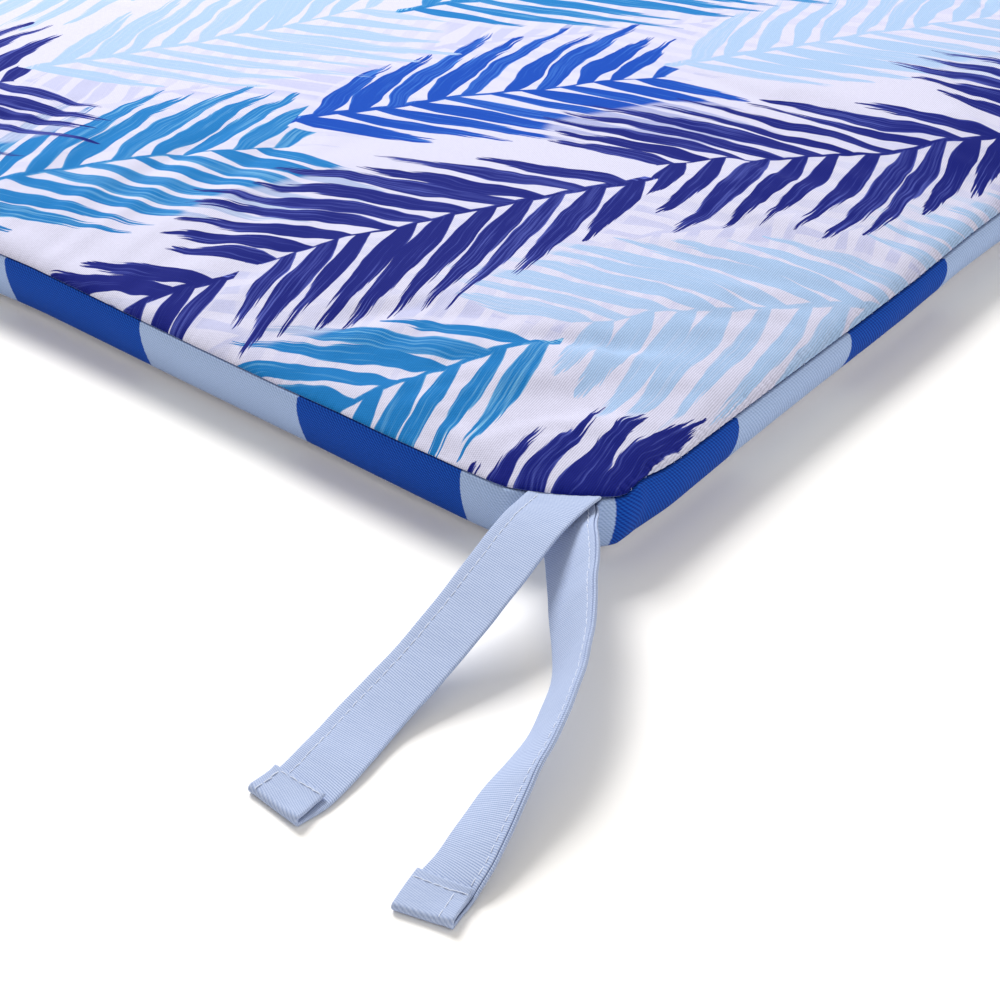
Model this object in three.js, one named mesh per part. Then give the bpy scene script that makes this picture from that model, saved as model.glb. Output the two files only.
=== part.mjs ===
// A chair cushion: a thin box-edged seat pad with a striped boxing band and a pair of ties at each back corner.
// Millimetres, +Z up, +Y towards the back of the chair. The origin is the centre of the flat underside.
import * as THREE from "three";

// Driving dimensions
const STRIPE_WIDTH = 62;
const STRIPES_PER_SIDE = 7;
const SIDE = STRIPE_WIDTH * STRIPES_PER_SIDE;
const HALF = SIDE / 2;
const SIDE_DRAW_IN = 5; // how far the middle of a side is pulled in from the square
const UPPER_SEAM_HEIGHT = 22;
const LOWER_SEAM_HEIGHT = 2.4;
const LOWER_SEAM_INSET = 5;
const CROWN = 9; // rise of the top panel from its seam to the flat part
const DOME = 2; // further gentle rise to the middle
const CLOTH = 1.5; // boxing band with its seam allowance behind it
const GAP = 0.45; // clearance between pieces that touch
const LIP_UNDERCUT = 1; // how far the underside of the top panel's lip rises inwards
const TIE_WIDTH = 18.5;
const TIE_THICKNESS = 1.2;
const TIE_HEM = 11;

// Shape of the crown: how late it falls towards the seam, and how steeply it meets it
const CROWN_FALL = 9;
const CROWN_STEEPNESS = 0.6;

// The underside leaves its seam, bellies down and lies flat inside the resting ring
const BELLY_INSET = 9;
const BELLY_HEIGHT = 0.9;
const RESTING_INSET = 15;

// How the band bows: straight down out of the upper seam, then rolled under to the lower seam
const BAND_LEAN = 2.2;
const BAND_DROP = 8;
const BAND_BELLY = 3.9;
const BAND_ROLL = 2.5;

// Corners of the outline, anticlockwise seen from above. before and after are the lengths cut from the side
// that arrives and the side that leaves, insetBefore and insetAfter how far those sides are drawn in there.
const CORNERS = [
  { x: 1, y: -1, before: 25, after: 25, insetBefore: 2, insetAfter: 2 },
  { x: 1, y: 1, before: 31, after: 23, insetBefore: 3, insetAfter: 1 },
  { x: -1, y: 1, before: 23, after: 31, insetBefore: 1, insetAfter: 3 },
  { x: -1, y: -1, before: 25, after: 25, insetBefore: 2, insetAfter: 2 },
];
const CORNER_EASE = 9;
const CORNER_STEPS = 12;
const SIDE_STEPS = 24;

// Rings of the top panel, as shares of the way out from the middle to the seam
const TOP_RINGS = [0.15, 0.34, 0.52, 0.67, 0.78, 0.86, 0.91, 0.947, 0.972, 0.99];
// Heights down the side, as shares of the way from the upper to the lower seam
const SIDE_ROWS = [0, 0.2, 0.4, 0.6, 0.8, 1];

// Soft puckers beside the seams: waves round the outline, with their depth in millimetres and their start
const PUCKERS = [
  { waves: 9, depth: 0.5, shift: 0.35 },
  { waves: 17, depth: 0.45, shift: 0.1 },
  { waves: 23, depth: 0.35, shift: 0.6 },
];
const PUCKER_REACH = 0.25; // share of the way to the middle that the puckers reach

// Halfway along each side the upper seam sags and the lower seam lifts, by these amounts
const SEAM_SAG = { right: 0.5, back: 2.2, left: 0.5, front: 1 };
const SEAM_LIFT = { right: 2.6, back: 3.4, left: 2.6, front: 3 };

// The top panel dips where a pair of ties is caught in its seam
const TIE_DIMPLE = { inward: 14, radius: 17, depth: 1.8 };

// Ties. Stations run from the seam to the free end: x and y from the corner of the square, z above the floor,
// and bank, the degrees by which the edge on the left of the run is lifted.
const UPPER_TIE = [
  { x: -10.6, y: -13.25, z: 20.95, bank: 0 },
  { x: -5.5, y: -12.6, z: 21.55, bank: 4 },
  { x: 7.1, y: -11, z: 22, bank: 4 },
  { x: 25.8, y: -7.1, z: 20.7, bank: 3 },
  { x: 44.5, y: -4.4, z: 17.3, bank: 4 },
  { x: 63.3, y: -2.7, z: 12.9, bank: 4 },
  { x: 82.3, y: -2.5, z: 8, bank: 4 },
  { x: 101, y: -2, z: 3.3, bank: 2 },
  { x: 110, y: -2.4, z: 1.2, bank: 0 },
  { x: 118.2, y: -3.1, z: 0.6, bank: 0 },
];
const LOWER_TIE = [
  { x: -10.2, y: -13, z: 19.25, bank: 0 },
  { x: -7.6, y: -10.5, z: 19.35, bank: 1 },
  { x: -3.5, y: -6.4, z: 19.3, bank: 12 },
  { x: 1.1, y: -1.9, z: 18.9, bank: 38 },
  { x: 18.2, y: 11.2, z: 16.6, bank: 50 },
  { x: 37, y: 25, z: 13.3, bank: 60 },
  { x: 58.7, y: 34.4, z: 10.4, bank: 54 },
  { x: 81.6, y: 39.2, z: 7, bank: 37 },
  { x: 104.8, y: 45.1, z: 3.1, bank: 14 },
  { x: 115, y: 47.1, z: 1, bank: 0 },
  { x: 124.7, y: 48.4, z: 0.6, bank: 0 },
];
const TIES = [
  { name: "tie_right_upper", mirror: 1, turn: 0, stations: UPPER_TIE },
  { name: "tie_right_lower", mirror: 1, turn: 0, stations: LOWER_TIE },
  { name: "tie_left_upper", mirror: -1, turn: -5, stations: UPPER_TIE },
  { name: "tie_left_lower", mirror: -1, turn: 4, stations: LOWER_TIE },
];
const TIE_STEPS = 26;
const TIE_ROOT_EASE = 24; // length over which the slanted root turns square to the run
const TIE_EDGE = 0.4; // half round of the folded edges

// Below the roots of the ties the band starts lower: the share of its section left free, how far, and its fade
const TIE_ROOM = { share: 0.16, reach: 9, fade: 8 };

const COLOURS = { print: 0xe4e2f2, cobalt: 0x1f49a8, tie: 0xaec6ea };

// Outline of the upper seam seen from above, as samples with their outward direction and place round it
function seamOutline() {
  const ends = CORNERS.map((corner) => {
    const tip = new THREE.Vector2(corner.x, corner.y).multiplyScalar(HALF);
    const arriving = new THREE.Vector2(corner.x - corner.y, corner.x + corner.y).multiplyScalar(0.5);
    const leaving = new THREE.Vector2(-arriving.y, arriving.x);
    const start = tip
      .clone()
      .addScaledVector(arriving, -corner.before)
      .addScaledVector(leaving, corner.insetBefore);
    const end = tip
      .clone()
      .addScaledVector(leaving, corner.after)
      .addScaledVector(arriving, -corner.insetAfter);
    return { corner, arriving, leaving, start, end };
  });
  const points = [];
  ends.forEach(({ corner, arriving, leaving, start, end }, k) => {
    const next = ends[(k + 1) % ends.length];
    const bend = new THREE.CubicBezierCurve(
      start,
      start.clone().addScaledVector(arriving, CORNER_EASE),
      end.clone().addScaledVector(leaving, -CORNER_EASE),
      end,
    );
    points.push(...bend.getPoints(CORNER_STEPS).slice(0, -1));
    const inward = arriving.clone().negate();
    // A cubic curve's middle takes a quarter from its ends and the rest from its handles
    const pull = (inset) => (SIDE_DRAW_IN - inset / 4) / (3 / 4) - inset;
    const along = next.start.clone().sub(end).divideScalar(3);
    const side = new THREE.CubicBezierCurve(
      end,
      end.clone().add(along).addScaledVector(inward, pull(corner.insetAfter)),
      next.start.clone().sub(along).addScaledVector(inward, pull(next.corner.insetBefore)),
      next.start,
    );
    points.push(...side.getPoints(SIDE_STEPS).slice(0, -1));
  });
  const count = points.length;
  const lengths = points.map((p, i) => p.distanceTo(points[(i + 1) % count]));
  const perimeter = lengths.reduce((sum, length) => sum + length, 0);
  let travelled = 0;
  return points.map((point, i) => {
    const before = points[(i + count - 1) % count];
    const after = points[(i + 1) % count];
    const out = new THREE.Vector2(after.y - before.y, before.x - after.x).normalize();
    const share = travelled / perimeter;
    travelled += lengths[i];
    return { point, out, share };
  });
}

// Share of an amount given for each side that a point of the outline takes: all of it halfway along its side
function bowed(point, amounts) {
  const halfway = (value) => Math.cos((Math.PI / 2) * Math.min(1, Math.abs(value) / HALF)) ** 2;
  const sideways = point.x > 0 ? amounts.right : amounts.left;
  const lengthways = point.y > 0 ? amounts.back : amounts.front;
  const onEnd = Math.abs(point.y) > Math.abs(point.x);
  return onEnd ? lengthways * halfway(point.x) : sideways * halfway(point.y);
}

// Section of the band below a point of the outline: x is the distance outwards, y the height
function bandSection(point) {
  const top = UPPER_SEAM_HEIGHT - bowed(point, SEAM_SAG);
  const bottom = LOWER_SEAM_HEIGHT + bowed(point, SEAM_LIFT);
  return new THREE.CubicBezierCurve(
    new THREE.Vector2(0, top - GAP / 2),
    new THREE.Vector2(BAND_LEAN, top - BAND_DROP),
    new THREE.Vector2(BAND_BELLY, bottom + BAND_ROLL),
    new THREE.Vector2(-LOWER_SEAM_INSET, bottom),
  );
}

// A point of the section, moved in by a depth square to the band and on past its end by a stretch
function sectionPoint(section, share, depth, stretch = 0) {
  const down = section.getTangent(share);
  const inward = new THREE.Vector2(down.y, -down.x);
  return section.getPoint(share).addScaledVector(inward, depth).addScaledVector(down, stretch);
}

// The section's point carried to its place on the pad
function place(sample, at) {
  const { point, out } = sample;
  return new THREE.Vector3(point.x + out.x * at.x, point.y + out.y * at.x, at.y);
}

// Height of the top panel at a share of the way out from the middle to the seam
function topHeight(sample, seamTop, ring, x, y) {
  const flat = UPPER_SEAM_HEIGHT + DOME * (1 - ring * ring);
  const crown = CROWN * (1 - ring ** CROWN_FALL) ** CROWN_STEEPNESS;
  const reach = Math.min(1, (1 - ring) / PUCKER_REACH);
  const pucker = PUCKERS.reduce(
    (sum, { waves, depth, shift }) => sum + depth * Math.sin(2 * Math.PI * (waves * sample.share + shift)),
    0,
  );
  const corner = HALF - TIE_DIMPLE.inward;
  const away = Math.hypot(Math.abs(x) - corner, y - corner) / TIE_DIMPLE.radius;
  const dimple = TIE_DIMPLE.depth * Math.exp(-away * away);
  const level = flat + (seamTop - UPPER_SEAM_HEIGHT) * ring ** CROWN_FALL;
  const nearSeam = 4 * reach * (1 - reach); // none at the seam, none past the reach, all halfway
  return level + crown + nearSeam * (pucker - dimple);
}

// Closed skin over rings of equal length that follow each other, with a pole at each end or joined end to end
function ringSkin(rings, poles) {
  const around = rings[0].length;
  const vertices = rings.flat();
  const faces = [];
  const spans = poles ? rings.length - 1 : rings.length;
  for (let j = 0; j < spans; j++) {
    const upper = j * around;
    const lower = ((j + 1) % rings.length) * around;
    for (let i = 0; i < around; i++) {
      const k = (i + 1) % around;
      faces.push(upper + i, lower + i, lower + k, upper + i, lower + k, upper + k);
    }
  }
  if (poles) {
    const first = vertices.length;
    const tail = (rings.length - 1) * around;
    vertices.push(poles[0], poles[1]);
    for (let i = 0; i < around; i++) {
      const k = (i + 1) % around;
      faces.push(first, i, k, first + 1, tail + k, tail + i);
    }
  }
  return new THREE.BufferGeometry().setFromPoints(vertices).setIndex(faces);
}

// The samples with the share of the section at which the band starts: further down below the roots of the ties
function withTieRoom(outline, seam) {
  return outline.map((sample) => {
    const away = Math.hypot(Math.abs(sample.point.x) - seam.point.x, sample.point.y - seam.point.y);
    const outside = THREE.MathUtils.smoothstep(away, TIE_ROOM.reach, TIE_ROOM.reach + TIE_ROOM.fade);
    return { ...sample, bandStart: TIE_ROOM.share * (1 - outside) };
  });
}

// Share of the section at a share of the band's own height
function alongBand(sample, share) {
  return sample.bandStart + (1 - sample.bandStart) * share;
}

// The pad: crowned top panel, filled sides behind the band, and underside panel that lies flat
function cushionGeometry(outline) {
  const sections = outline.map(({ point }) => bandSection(point));
  const lip = outline.map((sample, i) => place(sample, sectionPoint(sections[i], 0, 0, -GAP)));
  const middle = new THREE.Vector3(0, 0, UPPER_SEAM_HEIGHT + CROWN + DOME);
  const top = TOP_RINGS.map((ring) =>
    outline.map((sample, i) => {
      const x = lip[i].x * ring;
      const y = lip[i].y * ring;
      return new THREE.Vector3(x, y, topHeight(sample, lip[i].z, ring, x, y));
    }),
  );
  const behind = CLOTH + GAP;
  const row = (share, depth, stretch) =>
    outline.map((sample, i) => place(sample, sectionPoint(sections[i], share, depth, stretch)));
  const sides = SIDE_ROWS.map((share) =>
    outline.map((sample, i) => place(sample, sectionPoint(sections[i], alongBand(sample, share), behind))),
  );
  const inset = (distance, height) =>
    outline.map((sample) => place(sample, new THREE.Vector2(-distance, height)));
  const rings = [
    ...top,
    lip,
    row(0, behind, -LIP_UNDERCUT),
    ...sides,
    row(1, behind, GAP),
    row(1, 0, GAP),
    inset(BELLY_INSET, BELLY_HEIGHT),
    inset(RESTING_INSET, 0),
  ];
  return ringSkin(rings, [middle, new THREE.Vector3(0, 0, 0)]);
}

// The boxing band: one strip all the way round, bowed out and rolled under
function bandGeometry(outline) {
  const sections = outline.map(({ point }) => bandSection(point));
  const row = (share, depth) =>
    outline.map((sample, i) => place(sample, sectionPoint(sections[i], alongBand(sample, share), depth)));
  const outer = SIDE_ROWS.map((share) => row(share, 0));
  const inner = SIDE_ROWS.map((share) => row(share, CLOTH)).reverse();
  return ringSkin([...outer, ...inner]);
}

// Direction of the upper seam where the ties are caught, along the run of the right back corner
function tieSeam(outline) {
  const middle = outline[CORNER_STEPS + SIDE_STEPS + CORNER_STEPS / 2];
  return { point: middle.point, out: middle.out, along: new THREE.Vector2(-middle.out.y, middle.out.x) };
}

// One tie: a flat strip that runs from the seam through its stations, with the hem folded up over its end
function tieGeometry({ mirror, turn, stations }, seam) {
  const root = new THREE.Vector2(stations[0].x, stations[0].y);
  const swing = THREE.MathUtils.degToRad(turn);
  const centres = stations.map(({ x, y, z }) => {
    const spot = new THREE.Vector2(x, y).rotateAround(root, swing);
    return new THREE.Vector3(HALF + spot.x, HALF + spot.y, z);
  });
  const run = new THREE.CatmullRomCurve3(centres);
  const length = run.getLength();
  const hemStart = length - TIE_HEM;
  const marks = Array.from({ length: TIE_STEPS + 1 }, (_, i) => (hemStart * i) / TIE_STEPS);
  marks.push(hemStart + GAP, length - TIE_HEM / 2, length);
  const rings = marks.map((mark) => {
    const share = mark / length;
    const centre = run.getPointAt(share);
    const heading = run.getTangentAt(share);
    const level = new THREE.Vector3(-heading.y, heading.x, 0).normalize();
    const bank = THREE.MathUtils.degToRad(bankAt(stations, run.getUtoTmapping(share)));
    const across = level.clone().applyAxisAngle(heading, bank);
    const up = heading.clone().cross(across).normalize();
    const square = THREE.MathUtils.smoothstep(mark, 0, TIE_ROOT_EASE);
    const slant = new THREE.Vector3(seam.along.x, seam.along.y, 0);
    const forward = new THREE.Vector3(heading.x, heading.y, 0);
    across.addScaledVector(forward, (slant.dot(forward) / slant.dot(across)) * (1 - square));
    const hem = mark > hemStart ? TIE_THICKNESS : 0;
    const half = TIE_WIDTH / 2;
    const thick = TIE_THICKNESS / 2;
    const outlinePoints = [
      [-half, hem / 2],
      [TIE_EDGE - half, thick + hem],
      [0, thick + hem],
      [half - TIE_EDGE, thick + hem],
      [half, hem / 2],
      [half - TIE_EDGE, -thick],
      [0, -thick],
      [TIE_EDGE - half, -thick],
    ];
    return outlinePoints.map(([sideways, upwards]) => {
      const p = centre.clone().addScaledVector(across, sideways).addScaledVector(up, upwards);
      return new THREE.Vector3(mirror * p.x, p.y, Math.max(0, p.z));
    });
  });
  if (mirror < 0) rings.forEach((ring) => ring.reverse());
  const poles = [rings[0], rings.at(-1)].map((ring) =>
    ring.reduce((sum, p) => sum.add(p), new THREE.Vector3()).divideScalar(ring.length),
  );
  return ringSkin(rings, poles);
}

// Bank of a tie part of the way through its stations
function bankAt(stations, share) {
  const at = share * (stations.length - 1);
  const k = Math.min(Math.floor(at), stations.length - 2);
  return THREE.MathUtils.lerp(stations[k].bank, stations[k + 1].bank, THREE.MathUtils.smoothstep(at - k, 0, 1));
}

function piece(name, geometry, colour, roughness) {
  geometry.computeVertexNormals();
  const material = new THREE.MeshStandardMaterial({ color: colour, roughness, metalness: 0 });
  const mesh = new THREE.Mesh(geometry, material);
  mesh.name = name;
  return mesh;
}

const bare = seamOutline();
const seam = tieSeam(bare);
const outline = withTieRoom(bare, seam);

const chairCushion = new THREE.Group();
chairCushion.add(piece("cushion", cushionGeometry(outline), COLOURS.print, 0.85));
chairCushion.add(piece("boxing_band", bandGeometry(outline), COLOURS.cobalt, 0.8));
for (const tie of TIES) chairCushion.add(piece(tie.name, tieGeometry(tie, seam), COLOURS.tie, 0.85));

export default chairCushion;
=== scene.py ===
"""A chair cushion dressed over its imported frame: filled pad, striped boxing band, four ties and their stitching.

Lengths in this file are millimetres unless a name says otherwise; meshes are written in metres.
"""

import logging
import math
from collections.abc import Callable
from dataclasses import dataclass, field
from enum import Enum

import bpy
import numpy as np
from mathutils import Matrix, Vector


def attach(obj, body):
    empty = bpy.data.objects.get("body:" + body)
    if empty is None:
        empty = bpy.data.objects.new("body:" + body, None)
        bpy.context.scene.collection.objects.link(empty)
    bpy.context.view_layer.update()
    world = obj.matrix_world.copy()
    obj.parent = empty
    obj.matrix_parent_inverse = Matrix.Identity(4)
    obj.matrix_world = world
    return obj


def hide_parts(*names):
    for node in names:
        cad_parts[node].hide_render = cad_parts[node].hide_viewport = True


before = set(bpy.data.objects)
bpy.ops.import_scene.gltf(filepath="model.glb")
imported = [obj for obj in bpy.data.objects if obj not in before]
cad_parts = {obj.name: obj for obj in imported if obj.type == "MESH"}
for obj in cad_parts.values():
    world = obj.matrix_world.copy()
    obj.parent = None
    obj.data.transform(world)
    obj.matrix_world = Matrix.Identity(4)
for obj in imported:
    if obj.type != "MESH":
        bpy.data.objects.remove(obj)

LOG = logging.getLogger("chair_cushion")
Array = np.ndarray
Piece = bpy.types.Object
Table = tuple[tuple[float, float], ...]

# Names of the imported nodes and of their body
CUSHION_NODE = "cushion"
BAND_NODE = "boxing_band"
BODY = "root"

# Measures that several classes share
MM = 0.001
HALF = 217.0
STRIPE = 62.0
RIM_SAMPLES = 960
LOWER_FACE = 40


# Small helpers on arrays


def smoothstep(value: Array, low: float, high: float) -> Array:
    """Smooth rise from 0 at low to 1 at high."""
    share = np.clip((value - low) / (high - low), 0, 1)
    return share * share * (3 - 2 * share)


def bell(away: Array, width: float) -> Array:
    """Smooth bump, 1 in its middle and nearly gone at twice its width."""
    return np.exp(-((away / width) ** 2))


def unit(vectors: Array) -> Array:
    """Vectors of length one."""
    return vectors / np.linalg.norm(vectors, axis=-1, keepdims=True)


def travelled(points: Array) -> Array:
    """Distance along a line of points, or along each line of a grid."""
    steps = np.linalg.norm(np.diff(points, axis=0), axis=-1)
    return np.concatenate([np.zeros_like(steps[:1]), np.cumsum(steps, axis=0)])


def ripples(run: Array, lengths: tuple[float, ...], seed: int) -> Array:
    """Uneven waves along a run.

    Args:
        run: distances along the cloth.
        lengths: wave lengths that are mixed.
        seed: chooses the phases.

    Returns:
        A sum of sines, about -1 to 1.
    """
    phases = np.random.default_rng(seed).uniform(0, 2 * np.pi, len(lengths))
    waves = [np.sin(2 * np.pi * run / length + phase) for length, phase in zip(lengths, phases)]
    return np.sum(waves, axis=0) / math.sqrt(len(lengths))


def soften(values: Array, steps: float) -> Array:
    """A run of values smoothed over a number of steps, with its ends carried outwards."""
    reach = math.ceil(steps * 3)
    weights = np.exp(-0.5 * (np.arange(-reach, reach + 1) / steps) ** 2)
    return np.convolve(np.pad(values, reach, mode="edge"), weights / weights.sum(), "valid")


def blur(values: Array, cells: float) -> Array:
    """A square array smoothed over a number of cells, with its edge values carried outwards."""
    for axis in (0, 1):
        values = np.apply_along_axis(soften, axis, values, cells)
    return values


def bezier(handles: list[Array], share: Array) -> Array:
    """Points of a cubic curve."""
    a, b, c, d = handles
    rest = 1 - share
    return a * rest**3 + 3 * b * rest**2 * share + 3 * c * rest * share**2 + d * share**3


def outward(loop: Array) -> Array:
    """Outward directions of a closed loop that runs anticlockwise."""
    along = unit(np.roll(loop, -1, 0) - np.roll(loop, 1, 0))
    return np.column_stack([along[:, 1], -along[:, 0]])


def add_object(name: str, data: bpy.types.ID) -> Piece:
    """A new object in the scene."""
    made = bpy.data.objects.new(name, data)
    bpy.context.scene.collection.objects.link(made)
    return made


def store(mesh: bpy.types.Mesh, name: str, values: Array) -> None:
    """Stores a vector for each vertex. The finishes read the place on the flat cloth from the one named cloth."""
    attribute = mesh.attributes.new(name, "FLOAT_VECTOR", "POINT")
    attribute.data.foreach_set("vector", values.astype(np.float32).ravel())


@dataclass
class Skin:
    """Collects rings of vertices and the faces between them, and makes one mesh of them."""

    vertices: list[Array] = field(default_factory=list)
    faces: list[tuple[int, ...]] = field(default_factory=list)
    marks: list[int] = field(default_factory=list)
    count: int = 0

    def add(self, points: Array) -> Array:
        """Adds points of shape (..., 3) and returns their numbers in the same arrangement."""
        flat = points.reshape(-1, 3)
        numbers = np.arange(self.count, self.count + len(flat)).reshape(points.shape[:-1])
        self.vertices.append(flat)
        self.count += len(flat)
        return numbers

    def join(self, upper: Array, lower: Array, mark: int = 0) -> None:
        """Faces between two closed rings, anticlockwise seen from above, where one may have more points.

        Args:
            upper: numbers of the ring that is higher or nearer to the middle of the top.
            lower: numbers of the next ring down.
            mark: material slot of the faces.
        """
        turned = len(upper) > len(lower)
        few, many = (lower, upper) if turned else (upper, lower)
        ratio = len(many) // len(few)
        for i, corner in enumerate(few):
            run = [many[(i * ratio + j) % len(many)] for j in range(ratio + 1)]
            face = [corner, *run, few[(i + 1) % len(few)]]
            if turned:
                face[1:] = face[:0:-1]
            self.faces.append(tuple(int(n) for n in face))
        self.marks.extend([mark] * len(few))

    def sheet(self, grid: Array, mark: int = 0, turned: bool = False) -> None:
        """Faces of a rectangular grid of numbers, turned over where asked."""
        quads = np.stack([grid[:-1, :-1], grid[1:, :-1], grid[1:, 1:], grid[:-1, 1:]], -1).reshape(-1, 4)
        if turned:
            quads = quads[:, ::-1]
        self.faces.extend(map(tuple, quads.tolist()))
        self.marks.extend([mark] * len(quads))

    def tube(self, rings: Array, closed_run: bool = False) -> None:
        """Faces of a tube through rings of shape (rings, around), with its ends capped unless it is a loop."""
        run = np.vstack([rings, rings[:1]]) if closed_run else rings
        self.sheet(np.hstack([run, run[:, :1]]))
        if not closed_run:
            self.faces += [tuple(rings[0].tolist()), tuple(rings[-1][::-1].tolist())]
            self.marks += [0, 0]

    def object(self, name: str) -> Piece:
        """A new smooth object in metres at the origin."""
        mesh = bpy.data.meshes.new(name)
        mesh.from_pydata((np.concatenate(self.vertices) * MM).tolist(), [], self.faces)
        mesh.polygons.foreach_set("material_index", self.marks)
        mesh.shade_smooth()
        mesh.update()
        return add_object(name, mesh)


def tube_object(name: str, rings: Array, closed_run: bool = False) -> Piece:
    """An object of one tube through rings of points, with its faces outwards."""
    skin = Skin()
    skin.tube(skin.add(rings), closed_run)
    made = skin.object(name)
    if volume(made) < 0:
        made.data.flip_normals()
    return made


def volume(piece: Piece) -> float:
    """Signed volume of a closed mesh, negative where its faces point inwards."""
    mesh = piece.data
    mesh.calc_loop_triangles()
    corners = np.zeros(len(mesh.loop_triangles) * 3, int)
    mesh.loop_triangles.foreach_get("vertices", corners)
    points = np.zeros(len(mesh.vertices) * 3)
    mesh.vertices.foreach_get("co", points)
    a, b, c = points.reshape(-1, 3)[corners.reshape(-1, 3)].transpose(1, 0, 2)
    return float(np.einsum("ij,ij->i", a, np.cross(b, c)).sum() / 6)


# The pad's outline and section, by the same rules as the solids


@dataclass(frozen=True)
class Corner:
    """One corner of the outline: the side it lies on, the lengths cut off, and how far the sides are drawn in."""

    x: int
    y: int
    before: float
    after: float
    inset_before: float
    inset_after: float


@dataclass(frozen=True)
class Rim:
    """Samples of the upper seam: points and outward directions in plan, and the distance round."""

    point: Array
    out: Array
    run: Array
    length: float

    def every(self, step: int) -> "Rim":
        """The rim with every step-th sample."""
        return Rim(self.point[::step], self.out[::step], self.run[::step], self.length)

    def place(self, outward: Array | float, height: Array | float) -> Array:
        """Points at a distance outwards from the seam and a height above the floor."""
        plan = self.point + self.out * np.asarray(outward, float).reshape(-1, 1)
        heights = np.broadcast_to(np.asarray(height, float), (len(plan),))
        return np.column_stack([plan, heights])

    def unbroken_run(self) -> Array:
        """The distance round at each sample and at the first one again, without a break."""
        run = np.unwrap(self.run, period=self.length)
        return np.append(run, run[0] + self.length)


@dataclass(frozen=True)
class Waver:
    """An amount that changes along the sides, as tables of distance from a corner and amount.

    The right and left sides are measured from the back, the back from its right corner, the front from either.
    """

    sides: Table
    back: Table
    front: Table

    def at(self, point: Array) -> Array:
        """The amount at points of the outline."""
        x, y = point.T
        sideways, back = self.smooth(self.sides, HALF - y), self.smooth(self.back, HALF - x)
        front = self.smooth(self.front, HALF - np.abs(x))
        return np.where(np.abs(y) > np.abs(x), np.where(y > 0, back, front), sideways)

    def smooth(self, table: Table, distance: Array) -> Array:
        """The table read at distances, without sharp turns."""
        reads = [np.interp(distance + shift, *np.array(table).T) for shift in (-3, -1.5, 0, 1.5, 3)]
        return np.mean(reads, axis=0)


@dataclass(frozen=True)
class Outline:
    """The pad seen from above: a square with soft corners and drawn-in sides."""

    draw_in: float = 5.0
    ease: float = 9.0
    corners: tuple[Corner, ...] = (
        Corner(1, -1, 25, 25, 2, 2),
        Corner(1, 1, 31, 23, 3, 1),
        Corner(-1, 1, 23, 31, 1, 3),
        Corner(-1, -1, 25, 25, 2, 2),
    )
    fineness: int = 600
    give: Waver = Waver(
        ((12, 0), (28, 0.4), (45, 1.4), (80, 1.3), (110, 0.9), (167, 0), (217, -1.3), (300, 0.2), (390, 1), (422, 0)),
        (
            (12, 0), (28, 0.4), (45, 1.4), (110, 1.3), (150, 1.3),
            (185, 0.8), (225, -1.2), (250, -1.7), (390, 1), (422, 0),
        ),
        ((12, 0), (45, 1.2), (110, 0.8), (217, -1.2)),
    )

    def trace(self) -> Array:
        """A fine closed line through all corners and sides, anticlockwise from the front right corner."""
        ends = []
        for corner in self.corners:
            tip = np.array([corner.x, corner.y]) * HALF
            arriving = np.array([corner.x - corner.y, corner.x + corner.y]) * 0.5
            leaving = np.array([-arriving[1], arriving[0]])
            start = tip - arriving * corner.before + leaving * corner.inset_before
            end = tip + leaving * corner.after - arriving * corner.inset_after
            ends.append((corner, arriving, leaving, start, end))
        share = (np.arange(self.fineness) / self.fineness)[:, None]
        lines = []
        for k, (corner, arriving, leaving, start, end) in enumerate(ends):
            following, _, _, goal, _ = ends[(k + 1) % len(ends)]
            lines.append(bezier([start, start + arriving * self.ease, end - leaving * self.ease, end], share))
            along = (goal - end) / 3
            handle = end + along - arriving * self.pull(corner.inset_after)
            handle_next = goal - along - arriving * self.pull(following.inset_before)
            lines.append(bezier([end, handle, handle_next, goal], share))
        return np.vstack(lines)

    def pull(self, inset: float) -> float:
        """How far a side's handle is pulled in so that the middle of the side is drawn in as asked."""
        return (self.draw_in - inset / 4) / (3 / 4) - inset

    def rim(self, per_side: int = RIM_SAMPLES) -> Rim:
        """Samples in the directions of evenly spaced points round a square.

        Args:
            per_side: number of samples for each side of the square.

        Returns:
            The seam's samples, starting from the front right corner.
        """
        line = self.trace()
        run = travelled(np.vstack([line, line[:1]]))
        angle = np.unwrap(np.arctan2(line[:, 1], line[:, 0]))
        angle = np.append(angle, angle[0] + 2 * np.pi)
        radius = np.append(np.hypot(*line.T), math.hypot(*line[0]))
        square = square_rim(per_side)
        asked = (np.arctan2(square[:, 1], square[:, 0]) - angle[0]) % (2 * np.pi) + angle[0]
        reach = np.interp(asked, angle, radius)
        point = np.column_stack([np.cos(asked), np.sin(asked)]) * reach[:, None]
        point = point + outward(point) * self.give.at(point)[:, None]
        return Rim(point, outward(point), np.interp(asked, angle, run), float(run[-1]))


OUTLINE = Outline()


def square_rim(per_side: int) -> Array:
    """Evenly spaced points round a square of half side one, anticlockwise from its front right corner."""
    t = np.arange(per_side) * 2 / per_side - 1
    one = np.ones(per_side)
    sides = [(one, t), (-t, one), (-one, -t), (t, -one)]
    return np.vstack([np.column_stack(side) for side in sides])


@dataclass(frozen=True)
class Facing:
    """An amount on the right and left sides and one at the back and front, blended round the corners."""

    sides: float
    ends: float

    def at(self, rim: Rim) -> Array:
        """The amount at each sample."""
        return self.sides + (self.ends - self.sides) * rim.out[:, 1] ** 2


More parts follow.
